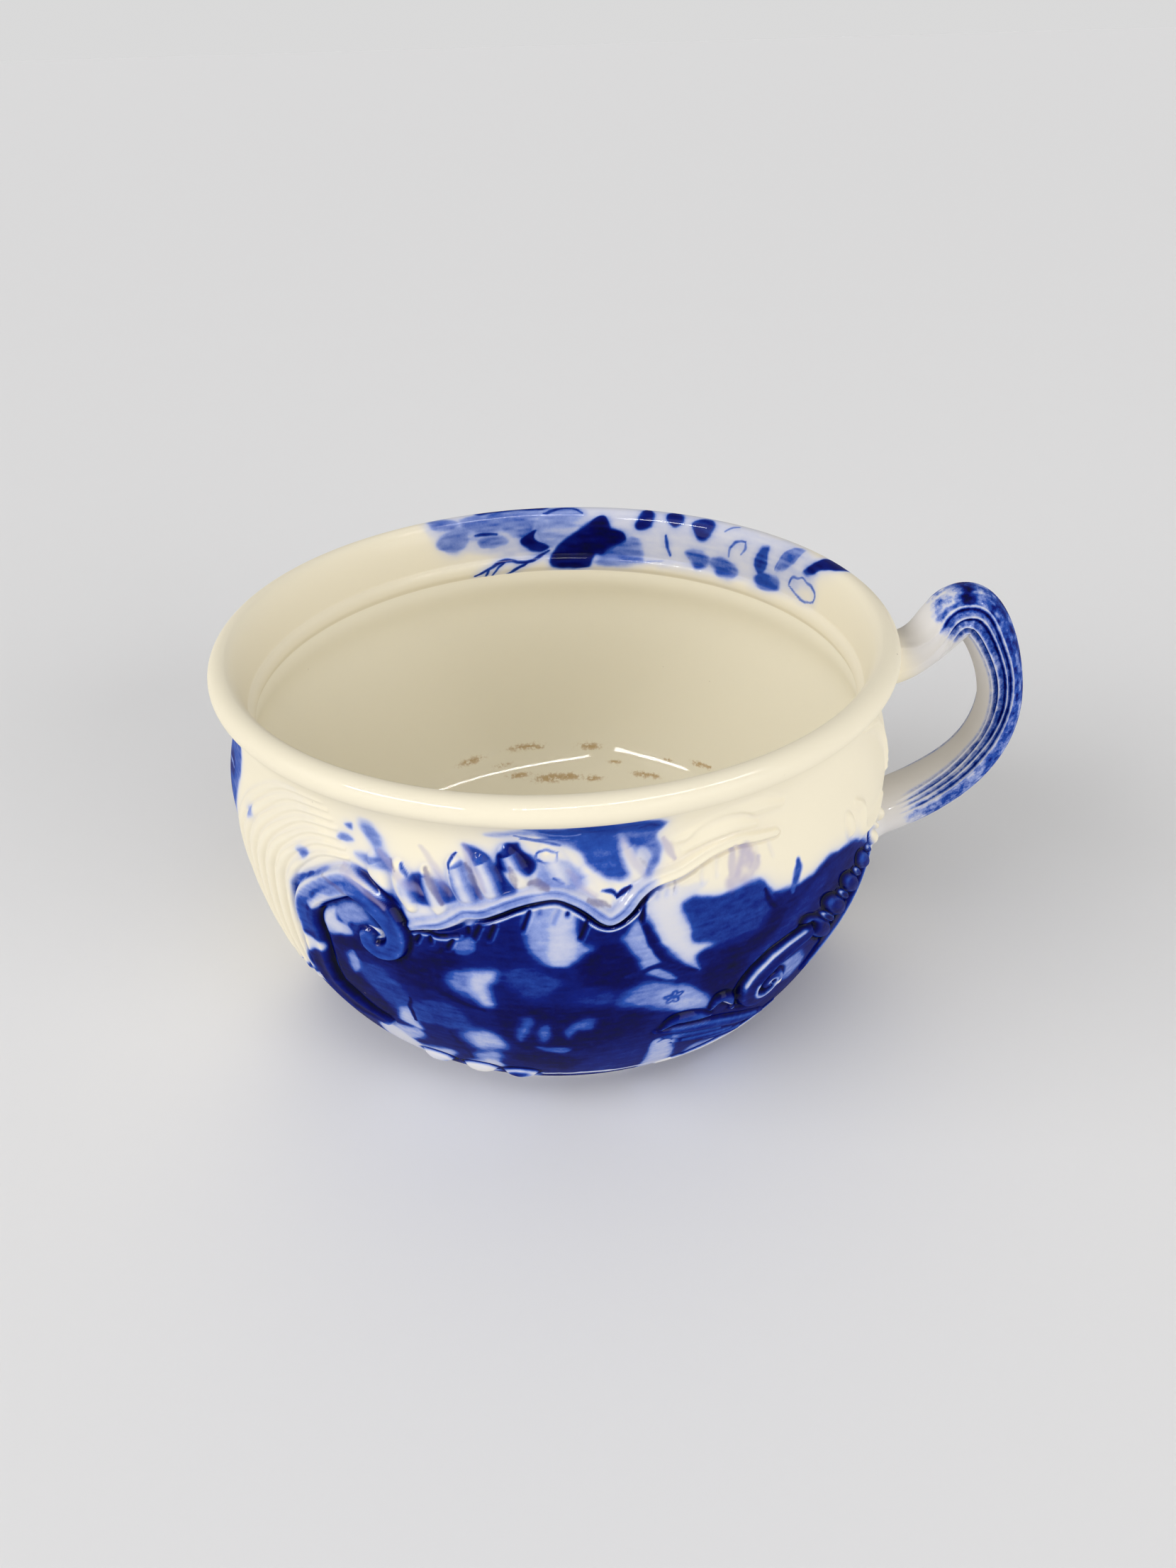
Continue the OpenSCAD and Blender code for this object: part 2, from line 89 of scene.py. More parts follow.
# Roundness of the flank between foot and belly
FLANK_POWERS = (2.1, 1.5)
# Inside: how far its widest line lies below the belly line, the top of its cove, and the floor's edge
INSIDE_DROP = 6
COVE_TOP = (94.5, 22.5)
FLOOR_EDGE = 68

# Ridges of the handle: turn round its oval from the outer face, in degrees, at shares of its length
RIDGE_SHARES = (0, 0.06, 0.13, 0.19, 0.27, 0.33, 0.45, 0.56, 0.65, 0.72, 0.8, 1)
RIDGE_TURNS = (
    (40, 44, 58, 65, 53, 55, 72, 74, 86, 98, 103, 100),
    (100, 100, 97, 90, 76, 78, 88, 90, 100, 112, 118, 111),
    (135, 132, 122, 109, 95, 104, 112, 112, 122, 130, 132, 120),
    (155, 150, 140, 126, 113, 122, 128, 127, 135, 140, 144, 130),
)
# Points round the handle and along each of its three bends
HANDLE_COLUMNS, BEND_STEPS = 288, 64
# Rings, and millimetres, that each end runs on into the wall
ROOT_RINGS = 7
UPPER_ROOT, LOWER_ROOT = 4.5, 9
# Clay left between the ends of the handle and the inside of the bowl
ROOT_COVER = 1.5

# Solids that the outside stands for
OUTSIDE_SOLIDS = (
    "wall", "volute_scrolls", "ribbon_borders", "handle_scrolls", "bead_chains", "acanthus_leaves",
    "foot_beads", "shell_flutes", "neck_gadroons", "handle_curls",
)


def length(name, description, default):
    return FloatProperty(name=name, description=description, default=default, unit="LENGTH")


def light(name, description, default):
    return FloatProperty(name=name, description=description, default=default, min=0)


def colour(name, description, default):
    return FloatVectorProperty(
        name=name, description=description, default=default, subtype="COLOR", size=3, min=0, max=1
    )


class PotSizes(bpy.types.PropertyGroup):
    """Sizes of the bowl and the handle."""

    rim_radius: length("Rim radius", "From the axis to the edge of the lip", WALL_HIGH.x)
    height: length("Height", "From the table to the top of the lip", WALL_HIGH.z)
    belly_inset: length("Belly inset", "From the edge of the lip in to the widest line", 0.0005)
    belly_drop: length("Belly drop", "From the top of the lip down to the widest line", 0.044)
    neck_inset: length("Neck inset", "From the edge of the lip in to the neck", 0.0055)
    neck_drop: length("Neck drop", "From the top of the lip down to the neck", 0.017)
    lip_roll: length("Lip roll", "Radius of the roll along the lip", 0.0046)
    wall: length("Wall", "Thickness of the wall", 0.0055)
    foot_radius: length("Foot radius", "From the axis to the edge of the foot", 0.082)
    foot_height: length("Foot height", "Height of the upright edge of the foot", 0.003)
    foot_ring: length("Foot ring", "Width of the ring that rests on the table", 0.009)
    base_hollow: length("Base hollow", "Depth of the hollow under the base", 0.0025)
    floor_height: length("Floor height", "From the table to the floor inside", 0.009)
    throat_drop: length("Throat drop", "From the top of the lip down to the throat, below its bead", 0.025)
    throat_inset: length("Throat inset", "From the neck in to the throat", 0.0056)
    handle_width: length("Handle width", "Width of the handle at the grip, side to side", 0.0215)
    handle_thickness: length("Handle thickness", "Thickness of the handle at the grip", 0.0145)
    crest_swell: length("Crest swell", "How much thicker the handle is at its crest", 0.0035)
    upper_taper: length("Upper taper", "How much narrower the handle is at its upper end", 0.0035)
    lower_swell: length("Lower swell", "How much thicker and wider the handle is at its lower end", 0.003)
    upper_root_drop: length("Upper root drop", "From the lip's top down to the handle's upper end", 0.019)
    lower_root_drop: length("Lower root drop", "From the lip's top down to the handle's lower end", 0.083)
    handle_reach: length("Handle reach", "From the axis to the outside of the handle", HANDLE_HIGH.x)
    handle_top: length("Handle top", "From the table to the top of the handle", HANDLE_HIGH.z)
    rib_depth: length("Rib depth", "Depth of the grooves between the handle's ribs", 0.0012)


class PotColours(bpy.types.PropertyGroup):
    """Colours of glaze, print and stains."""

    cream: colour("Cream", "Bare glaze", (0.82, 0.755, 0.595))
    # The inside's colour is the cream glaze made lighter: painted light that brightens the inside of the bowl
    inside: colour("Inside", "Bare glaze of the inside", (0.87, 0.82, 0.675))
    milk: colour("Milk", "Glaze inside the print, tinted by it", (0.58, 0.59, 0.68))
    pale: colour("Pale blue", "Thinnest wash of the print", (0.24, 0.31, 0.61))
    mid: colour("Mid blue", "Middle wash of the print", (0.02, 0.073, 0.375))
    cobalt: colour("Cobalt", "Strong wash of the print", (0.002, 0.01, 0.165))
    navy: colour("Navy", "Pooled print, darkest", (0.0006, 0.0012, 0.074))
    groove: colour("Groove", "Print in the deepest cuts", (0.002, 0.003, 0.018))
    violet: colour("Violet", "Brownish ink in the hollows", (0.13, 0.11, 0.24))
    # Lilac also paints the shade laid into hollows of the bare glaze high on the wall
    lilac: colour("Lilac", "Thin violet wash", (0.36, 0.32, 0.50))
    stain: colour("Stain", "Brown stains on the floor inside", (0.46, 0.28, 0.09))
    speck: colour("Speck", "Specks in the glaze outside", (0.16, 0.12, 0.09))
    inside_speck: colour("Inside speck", "Specks in the glaze of the lip and the inside", (0.2, 0.15, 0.1))
    biscuit: colour("Biscuit", "Bare clay on the foot ring", (0.62, 0.52, 0.37))
    dirt: colour("Dirt", "Dirt in the bare clay", (0.30, 0.23, 0.15))


class PotStage(bpy.types.PropertyGroup):
    """Floor and light."""

    floor: colour("Floor", "Colour of the floor", (0.8, 0.8, 0.81))
    backdrop: colour("Backdrop", "Colour beyond the floor", (0.7, 0.698, 0.698))
    sky_tint: colour("Sky tint", "Colour of the even light all round", (1, 0.985, 0.96))
    sky: light("Sky", "Strength of the even light all round", 0.38)
    overhead: light("Overhead", "Strength of the soft light from above", 0.42)
    left: light("Left", "Strength of the soft light from the left", 1.75)
    right: light("Right", "Strength of the soft light from the right", 2.0)
    glints: light("Glints", "Watts a square metre of the lamps seen only as glints in the glaze", 320)


def millimetres(sizes):
    """The sizes as plain numbers in millimetres."""
    return {name: 1000 * getattr(sizes, name) for name in sizes.__annotations__}


# Lines and fields


def ease(x, low, high):
    """Soft step from 0 at low to 1 at high."""
    t = np.clip((x - low) / (high - low), 0, 1)
    return t * t * (3 - 2 * t)


def bump(x, middle, reach):
    """Bell of height 1 at the middle, fallen to about a third one reach away."""
    return np.exp(-(((x - middle) / reach) ** 2))


def passed(line):
    """Length of a line from its start to each of its points."""
    return np.concatenate(([0], np.cumsum(np.hypot(*np.diff(line, axis=0).T))))


def bezier(a, b, c, d, t):
    t = np.asarray(t)[:, None]
    a, b, c, d = (np.asarray(p, float) for p in (a, b, c, d))
    return (1 - t) ** 3 * a + 3 * t * (1 - t) ** 2 * b + 3 * t * t * (1 - t) * c + t**3 * d


def bend(start, lead, lead_in, end, steps):
    """Curve from start to end without its first point, for adding to a line that ends there."""
    return bezier(start, lead, lead_in, end, np.linspace(0, 1, steps)[1:])


def curve_through(places, steps=6, closed=False):
    """Smooth line through a few places."""
    p = np.asarray(places, float)
    n = len(p)
    last = n if closed else n - 1
    pick = (lambda i: p[i % n]) if closed else (lambda i: p[min(max(i, 0), n - 1)])
    share = np.arange(steps) / steps
    parts = []
    for i in range(last):
        a, b, c, d = pick(i - 1), pick(i), pick(i + 1), pick(i + 2)
        parts.append(bezier(b, b + (c - a) / 6, c - (d - b) / 6, c, share))
    parts.append(pick(last)[None])
    return np.vstack(parts)


def coil(eye, start, end, start_r, end_r, steps=48):
    """Line that winds into an eye, from one direction to another in degrees."""
    t = np.linspace(0, 1, steps)
    a = np.radians(start + (end - start) * t)
    r = end_r + (start_r - end_r) * (1 - t) ** 1.8
    return np.stack([eye[0] + r * np.cos(a), eye[1] + r * np.sin(a)], axis=1)


def around_line(u, v, line, reach):
    """Which places lie in the box round a line, grown by its reach."""
    low, high = line.min(0) - reach, line.max(0) + reach
    return (u > low[0]) & (u < high[0]) & (v > low[1]) & (v < high[1])


def along_line(u, v, line):
    """Signed distance of each place from a line, and the share of its length passed there."""
    gone = passed(line)
    best = np.full(u.shape, np.inf)
    side = np.ones(u.shape)
    share = np.zeros(u.shape)
    for a, b, before, after in zip(line[:-1], line[1:], gone[:-1], gone[1:]):
        step = after - before
        if step == 0:
            continue
        d = (b - a) / step
        du, dv = u - a[0], v - a[1]
        t = np.clip(du * d[0] + dv * d[1], 0, step)
        away = np.hypot(du - t * d[0], dv - t * d[1])
        near = away < best
        best = np.where(near, away, best)
        side = np.where(near, np.where(d[0] * dv - d[1] * du < 0, -1, 1), side)
        share = np.where(near, (before + t) / gone[-1], share)
    return best * side, share


def within(u, v, outline):
    """Distance of each place inside a closed outline, negative outside it."""
    best = np.full(u.shape, np.inf)
    inside = np.zeros(u.shape, bool)
    for a, b in zip(outline, np.roll(outline, -1, axis=0)):
        d = b - a
        du, dv = u - a[0], v - a[1]
        t = np.clip((du * d[0] + dv * d[1]) / max(d @ d, 1e-9), 0, 1)
        best = np.minimum(best, np.hypot(du - t * d[0], dv - t * d[1]))
        if d[1] != 0:
            crosses = (a[1] > v) != (b[1] > v)
            inside ^= crosses & (du < d[0] * dv / d[1])
    return np.where(inside, best, -best)


def cloud(u, v, size, seed):
    """Smooth noise between -1 and 1, with lumps of the given size."""
    x, y = u / size, v / size
    i, j = np.floor(x).astype(np.int64), np.floor(y).astype(np.int64)
    fx, fy = ease(x - i, 0, 1), ease(y - j, 0, 1)

    def corner(a, b):
        """A steady random value for one corner of the grid, by mixing the bits of its place."""
        h = (a * 374761393 + b * 668265263 + seed * 974711) & 0xFFFFFFFF
        h = ((h ^ (h >> 13)) * 1274126177) & 0xFFFFFFFF
        return ((h ^ (h >> 16)) & 0xFFFF) / 32767.5 - 1

    low = corner(i, j) * (1 - fx) + corner(i + 1, j) * fx
    high = corner(i, j + 1) * (1 - fx) + corner(i + 1, j + 1) * fx
    return low * (1 - fy) + high * fy


def blurred(field, reach, row_step, column_step):
    """A field averaged twice over a window that reaches some millimetres each way."""
    for axis, step in ((0, row_step), (1, column_step)):
        cells = max(1, round(reach / step))
        width = 2 * cells + 1
        for _ in range(2):
            pad = [(0, 0), (0, 0)]
            pad[axis] = (cells + 1, cells)
            total = np.moveaxis(np.cumsum(np.pad(field, pad, mode="reflect"), axis=axis), axis, 0)
            field = np.moveaxis((total[width:] - total[:-width]) / width, 0, axis)
    return field


# Shape of the bowl


class Bowl:
    """The bowl's plain profile, in millimetres."""

    def __init__(self, mm):
        self.mm = mm
        self.rim = mm["rim_radius"]
        self.belly = self.rim - mm["belly_inset"]
        self.neck = self.rim - mm["neck_inset"]
        self.foot = mm["foot_radius"]
        self.belly_z = mm["height"] - mm["belly_drop"]
        self.neck_z = mm["height"] - mm["neck_drop"]
        self.roll = mm["lip_roll"]
        self.lip = np.array([self.rim - self.roll, mm["height"] - self.roll])
        self.lip_foot = self.lip + self.roll * np.array([math.cos(LIP_UNDER), math.sin(LIP_UNDER)])
        self.table_z = np.linspace(0, self.lip_foot[1], PROFILE_STEPS)
        self.table_s = passed(np.stack([self.outside(self.table_z), self.table_z], axis=1))
        self.belly_s = np.interp(self.belly_z, self.table_z, self.table_s)

    def outside(self, z):
        """Radius of the outside at height z."""
        z = np.asarray(z, float)
        foot_z = self.mm["foot_height"]
        rise, fullness = FLANK_POWERS
        t = np.clip((z - foot_z) / (self.belly_z - foot_z), 0, 1)
        flank = self.foot + (self.belly - self.foot) * (1 - (1 - t) ** rise) ** (1 / fullness)
        t = np.clip((z - self.belly_z) / (self.neck_z - self.belly_z), 0, 1)
        shoulder = self.neck + (self.belly - self.neck) * (1 + np.cos(np.pi * t)) / 2
        t = np.clip((z - self.neck_z) / (self.lip_foot[1] - self.neck_z), 0, None)
        flare = self.neck + (self.lip_foot[0] - self.neck) * t**2
        return np.where(z <= self.belly_z, flank, np.where(z <= self.neck_z, shoulder, flare))

    def slope(self, z, step=0.05):
        return (self.outside(z + step) - self.outside(z - step)) / (2 * step)

    def up_wall(self, z):
        """Distance up the wall from the belly line to height z."""
        return np.interp(z, self.table_z, self.table_s) - self.belly_s

    def laid(self, places):
        """Places given as degrees from the front and height, in millimetres on the wall."""
        p = np.asarray(places, float)
        return np.stack([p[:, 0] * GIRTH, self.up_wall(p[:, 1])], axis=1)

    def lip_profile(self):
        """Profile of the lip, from under its roll down the hollow flare and round the bead at the throat."""
        turn = np.linspace(LIP_UNDER, LIP_OVER, 30)
        roll = self.lip + self.roll * np.stack([np.cos(turn), np.sin(turn)], axis=1)
        top = roll[-1]
        throat = np.array([self.neck - self.mm["throat_inset"], self.mm["height"] - self.mm["throat_drop"]])
        crease, nose = throat + BEAD_CREASE, throat + BEAD_NOSE
        lead = 0.66 * (top[0] - crease[0]) * np.array([-math.sin(LIP_OVER), math.cos(LIP_OVER)])
        flare = bend(top, top + lead, crease + [0.1, 11], crease, 60)
        bead = bend(crease, crease + [-1.2, -0.9], nose + [0, 2.2], nose, 16)
        under = bend(nose, nose - [0, 1.3], throat + [-0.3, 0.9], throat, 10)
        return np.vstack([roll, flare, bead, under])

    def inside_profile(self):
        """Profile of the inside, from the throat down the wall and along the floor to the axis."""
        throat = self.lip_profile()[-1:]
        hollow = self.belly - self.mm["wall"]
        floor = self.mm["floor_height"]
        widest = np.array([hollow, self.belly_z - INSIDE_DROP])
        flat = np.array([FLOOR_EDGE, floor])
        belly = bend(throat[0], throat[0] - [0, 9], widest + [0, 15], widest, 20)
        side = bend(widest, [hollow, 55], [103.5, 36], COVE_TOP, 40)
        cove = bend(COVE_TOP, [88.5, 14], [81, floor], flat, 26)
        across = np.linspace(FLOOR_EDGE, 0.4, 30)[1:]
        middle = np.stack([across, np.full(len(across), floor)], axis=1)
        return np.vstack([throat, belly, side, cove, middle])


# Raised ornament: lines are degrees from the front and height, in millimetres

# Height across a band, in shares of its half width and height
# Lines run with the outer or upper side on their left
ROUND_RIDGE = (
    (-1.5, 0), (-1.15, -0.2), (-0.8, 0.45), (-0.4, 0.9), (0, 1), (0.4, 0.9), (0.8, 0.45), (1.15, -0.2),
    (1.5, 0),
)
SCROLL_BAND = (
    (-1.75, 0), (-1.4, -0.3), (-1.16, -0.6), (-0.95, 0.2), (-0.7, 0.75), (0, 0.72), (0.55, 0.85), (0.8, 1),
    (1, 0.5), (1.22, -0.28), (1.6, 0),
)
RIBBON_BAND = (
    (-2.2, 0), (-1.75, 0.22), (-1.3, -0.75), (-0.95, 0.3), (-0.65, 0.95), (-0.2, 0.7), (0.2, 0.75),
    (0.6, 1), (0.95, 0.45), (1.3, -0.15), (1.7, 0),
)
SOFT_RIDGE = ((-1.7, 0), (-1.1, 0.13), (-0.55, 0.62), (0, 1), (0.55, 0.62), (1.1, 0.13), (1.7, 0))
CUT_LINE = ((-2, 0), (-1.2, 0.22), (-0.5, -0.6), (0, -1), (0.5, -0.6), (1.2, 0.22), (2, 0))
# Height of a bead from its middle outwards
BEAD_SECTION = ((0, 1), (0.3, 0.94), (0.6, 0.75), (0.85, 0.42), (1, 0.05), (1.18, -0.22), (1.5, 0))

SCROLL = (
    (-32, 36.5), (-37, 40), (-41.2, 46), (-42.2, 54), (-41.9, 62), (-41.6, 70), (-41.9, 77), (-40.6, 83.5),
    (-38.2, 88.3), (-35, 92.6), (-32.2, 95.6), (-29.8, 95), (-27.4, 92.6), (-25.4, 89), (-24.2, 84.4),
    (-24.1, 80), (-25.2, 76), (-27.3, 74.4), (-29, 76), (-29.2, 78.8),
)
RIBBON = (
    (-21.6, 87), (-19.4, 88.8), (-16.6, 90.4), (-14.4, 93), (-13, 95), (-10.5, 95.7), (-8.3, 97.4),
    (-6.1, 99.3), (-3.4, 100.9), (-0.1, 101.8), (2.4, 100.2), (4.6, 97.5), (6.8, 93.7), (8, 93.4),
    (9.8, 95.8), (11.6, 99.6), (14, 102.3), (18, 103.8), (22.8, 107.2), (27, 108), (30.7, 106.6),
    (34.5, 105.4),
)
LOW_CUT = ((-22.3, 85.1), (-20.2, 86.2), (-18.5, 86.4), (-17, 85.7), (-14.2, 87.1))
HANDLE_SCROLL_STEM = ((43, 60.5), (39, 60), (35.5, 58))
HANDLE_SCROLL_EYE = (36.5, 45.5)
LEAF_STEM = ((15, 41), (20, 39), (26, 36), (33, 30), (40, 24))
LEAF_LOBES = (
    ((25, 42.6), (21, 45.2), (18, 45.6), (15.8, 42)),
    ((30.4, 41), (27.4, 48.6), (25.6, 49.8), (24.4, 45.4)), ((34, 36), (31, 41), (28.6, 41.6)),
)
LEAF_EDGE = ((18, 12), (22, 13.4), (28, 15.4), (33.8, 17.4), (38.5, 19.6), (44, 23.4))
LEAF_VEINS = (
    ((17, 36), (23, 33), (30, 28)), ((19, 31), (26, 28), (34, 22)), ((24, 27), (30, 23), (38, 18)),
    ((22, 38.4), (28, 34.6), (34, 29)),
)
CHAIN_FROM, CHAIN_STEP, CHAIN_COUNT, CHAIN_TURN = (47.4, 56.6), (4.7, 3.4), 6, -42
CHAIN_BORDER = ((47.5, 36), (51.5, 43), (57.5, 49.5), (63.5, 54.5), (69, 59.4), (73, 63.4))
FOOT_BEADS = ((-25, 19), (-16.4, 18), (-8.6, 17.4))
CLOUD_RIDGES = (
    ((17.6, 112.9), (22.9, 114.2), (25.3, 115.1), (28.9, 116.4), (32.9, 115.3), (36, 113.6)),
    ((19, 109.6), (22, 111.4), (27, 112.4), (31, 111)),
)
HANDLE_CURLS = (
    ((60, 117), (66, 114), (70.5, 108), (73, 99), (72, 91)),
    ((54.6, 98), (56.6, 94), (56.2, 88), (58.4, 84.6), (63, 83.8), (68, 86)),
)
TEARDROP = (52, 92.4)
# Short cuts that hang from the ribbon, inked where they lie in the print
INKED_CUTS = (
    ((-12.6, 90.1), (-12.5, 88)), ((-10.9, 91.1), (-11.9, 86.5)), ((-8.8, 91.5), (-9.7, 86.8)),
    ((-3.7, 96.6), (-4.8, 90.5)), ((1.6, 95.9), (1.5, 94.8)), ((4.4, 93.6), (3.1, 87)),
    ((12.7, 98.6), (11.9, 91)), ((-20, 85.4), (-21, 81.6)), ((-18.4, 85.6), (-18.6, 82.6)),
    ((-15, 85), (-16, 81.5)),
)
BARE_CUTS = (
    ((0.5, 97), (-0.5, 92.3)), ((-2.2, 97.1), (-2.4, 95)), ((14.7, 100.4), (14.3, 97)),
    ((16.1, 100.6), (15.7, 97)), ((17.4, 101), (17, 97)), ((21.5, 104), (21.2, 98)),
    ((24, 106), (23.6, 99)), ((30.6, 105), (31, 99)), ((33, 104), (33.6, 98.5)),
)
FLUTE_COUNT = 7
# Where each gadroon starts above the ribbon, in degrees from the front, and its height
GADROONS = (
    (-25.2, 1.6), (-21, 1.8), (-16.4, 1.8), (-12.3, 1.9), (-8.5, 1.9), (-4.5, 1.7), (1.4, 0.8), (7, 0.8),
    (12.4, 1.0),
)


def flute(k):
    """One of the flutes that fan up the side opposite the handle."""
    return (
        (-47 - 3.4 * k, 42), (-46.8 - 3.4 * k, 62), (-45.4 - 3.2 * k, 82), (-44.2 - 3 * k, 88.4 + 0.5 * k),
        (-42.2 - 2.6 * k, 94.2 + 1.4 * k), (-37.4 - 1.7 * k, 101 + 2.3 * k), (-32 - 0.8 * k, 103 + 2.5 * k),
    )


def gadroon(at):
    """One of the slanting gadroons between the ribbon and the neck."""
    ribbon = np.array(RIBBON)
    foot = max(np.interp(at, ribbon[:, 0], ribbon[:, 1]) + 2.4, 94)
    return ((at, foot), (at - 1, foot + 5), (at - 2.3, foot + 11))


# Share of a band's width at each share of its length


def even(t):
    return np.ones(t.shape)


def spindle(t):
    return 0.3 + 0.7 * np.sin(np.pi * np.clip(t, 0.02, 0.98))


def leaf_swell(t):
    return 0.32 + 0.68 * np.sin(np.pi * np.clip(0.1 + 0.75 * t, 0, 1))


def flute_swell(t):
    return 1 - 0.7 * ease(t, 0.4, 0.9)


def scroll_swell(t):
    return 0.55 + 0.45 * ease(t, 0, 0.12) - 0.42 * ease(t, 0.74, 1)


def ribbon_swell(t):
    return 0.6 + 0.4 * np.clip(np.minimum(8 * t, 6 * (1 - t)), 0, 1)


def coil_swell(t):
    return 0.75 + 0.25 * ease(t, 0, 0.3) - 0.6 * ease(t, 0.4, 1)


class Relief:
    """Heights of the raised ornament on the wall, with the ink in its lines and the lines it leaves bare,
    which are also painted highlights.
    """

    def __init__(self, bowl, u, v):
        self.bowl, self.u, self.v = bowl, u, v
        self.height = np.zeros(u.shape)
        self.inks = {kind: np.zeros(u.shape) for kind in ("tint", "pale", "dark")}

    def line(self, places):
        return curve_through(self.bowl.laid(places))

    def band(self, line, half_width, height, section=ROUND_RIDGE, swell=spindle, inks=()):
        """Raises or cuts a band along a line on the wall. swell gives its share of width along the line.

        Each of inks is a line of ink along the band: tint, pale or dark, its place across in half widths, its
        half thickness, its strength, and the shares of the band's length where it starts and ends. A pale
        line is print left thin along a ridge, and a painted highlight there too.
        """
        near = around_line(self.u, self.v, line, 2.2 * half_width)
        if not near.any():
            return
        away, share = along_line(self.u[near], self.v[near], line)
        size = swell(share)
        x, y = np.array(section).T
        across = away / (half_width * size)
        shape = np.interp(across, x, y, 0, 0) * height * (0.35 + 0.65 * size)
        keep = 1 - ease(np.abs(across), 0.9, x[-1])
        self.height[near] = self.height[near] * (1 - keep) + shape
        for field in self.inks.values():
            field[near] *= 1 - keep
        # Pale lines are thin print on ridges and painted highlights as well
        for kind, at, thick, strength, start, end in inks:
            off = (across - at) * half_width * size
            run = ease(share, start - 0.02, start + 0.02) * (1 - ease(share, end - 0.02, end + 0.02))
            field = self.inks[kind]
            field[near] = np.maximum(field[near], strength * run * bump(off, 0, thick))

    def bead(self, place, half_length, half_width, height, turn, dark=0.0, pale=0.0):
        """Raises an oval bead, dark in the cut round it and pale along its edge, where thin print and a
        painted highlight lie.
        """
        centre = self.bowl.laid([place])[0]
        c, s = math.cos(math.radians(turn)), math.sin(math.radians(turn))
        du, dv = self.u - centre[0], self.v - centre[1]
        out = np.hypot((du * c + dv * s) / half_length, (dv * c - du * s) / half_width)
        x, y = np.array(BEAD_SECTION).T
        keep = 1 - ease(out, 0.95, x[-1])
        self.height = self.height * (1 - keep) + np.interp(out, x, y) * height
        for kind, strength, at in (("tint", 0, 0), ("pale", pale, 0.84), ("dark", dark, 1.2)):
            self.inks[kind] = np.maximum(self.inks[kind] * (1 - keep), strength * bump(out, at, 0.16))


def raise_flutes(relief):
    inks = (("pale", 0, 0.8, 0.6, 0.3, 0.97), ("dark", 1.15, 0.9, 0.14, 0.4, 0.9))
    for k in range(FLUTE_COUNT):
        line = relief.line(flute(k))
        relief.band(line, half_width=2.5, height=1.4 - 0.1 * k, swell=flute_swell, inks=inks)


def raise_neck(relief):
    """Gadroons and soft cloud ridges under the lip, with the curls and the teardrop beside the handle."""
    inks = (("pale", 0, 2.0, 0.95, 0, 0.92),)
    for at, height in GADROONS:
        line = relief.line(gadroon(at))
        relief.band(line, half_width=3.5, height=height, swell=leaf_swell, inks=inks)
    for line in CLOUD_RIDGES:
        relief.band(relief.line(line), half_width=4.2, height=1.9, section=SOFT_RIDGE)
    for line in HANDLE_CURLS:
        relief.band(relief.line(line), half_width=3.0, height=2.0, section=SOFT_RIDGE)
    relief.bead(TEARDROP, half_length=4.6, half_width=2.4, height=1.6, turn=100)


def raise_leaf(relief):
    """The leaf low on the right of the front: veins, edge, stem and lobes."""
    vein_inks = (("pale", 0.7, 0.4, 0.5, 0.1, 0.9), ("dark", -1.1, 0.7, 1, 0, 1))
    edge_inks = (("pale", 0, 0.9, 1.3, 0, 1), ("dark", 1.3, 0.6, 1, 0.2, 1))
    lobe_inks = (
        ("pale", 0.75, 0.6, 1.4, 0.02, 0.98), ("dark", -1.1, 0.7, 1, 0, 1), ("dark", 1.25, 0.5, 0.9, 0, 1),
    )
    for line in LEAF_VEINS:
        relief.band(relief.line(line), half_width=1.7, height=1.2, inks=vein_inks)
    relief.band(relief.line(LEAF_EDGE), half_width=1.4, height=1.0, inks=edge_inks)
    relief.band(relief.line(LEAF_STEM), half_width=2.6, height=1.9, inks=vein_inks)
    for line in LEAF_LOBES:
        relief.band(relief.line(line), half_width=2.2, height=1.9, inks=lobe_inks)


def raise_chain(relief):
    """The chain of long beads, with a thin reel between each two and a border beside them."""
    for k in range(CHAIN_COUNT):
        across, up = (start + step * k for start, step in zip(CHAIN_FROM, CHAIN_STEP))
        relief.bead((across, up), 14.5 - 1.2 * k, 3.4 - 0.2 * k, 2.4, CHAIN_TURN, dark=1.1, pale=0.35)
        if k:
            relief.bead((across - 2.35, up - 1.7), 11 - 1.1 * k, 1.1, 1.6, CHAIN_TURN, dark=0.8, pale=0.9)
    inks = (("pale", 0, 1.0, 0.75, 0.05, 0.95), ("dark", 1.25, 0.7, 0.8, 0.05, 0.95))
    relief.band(relief.line(CHAIN_BORDER), half_width=2.2, height=1.8, inks=inks)


def raise_handle_scroll(relief):
    eye = relief.bowl.laid([HANDLE_SCROLL_EYE])[0]
    curl = np.vstack([relief.line(HANDLE_SCROLL_STEM), coil(eye, 128, 600, 11.5, 1.5)])
    inks = (
        ("pale", -0.75, 0.6, 1, 0.02, 0.42), ("pale", 0.7, 0.7, 0.9, 0.4, 0.98),
        ("dark", -1.2, 0.9, 1, 0, 0.95), ("dark", 1.25, 0.8, 1, 0.1, 0.9),
    )
    relief.band(curl, half_width=4.0, height=2.3, section=SCROLL_BAND, swell=coil_swell, inks=inks)


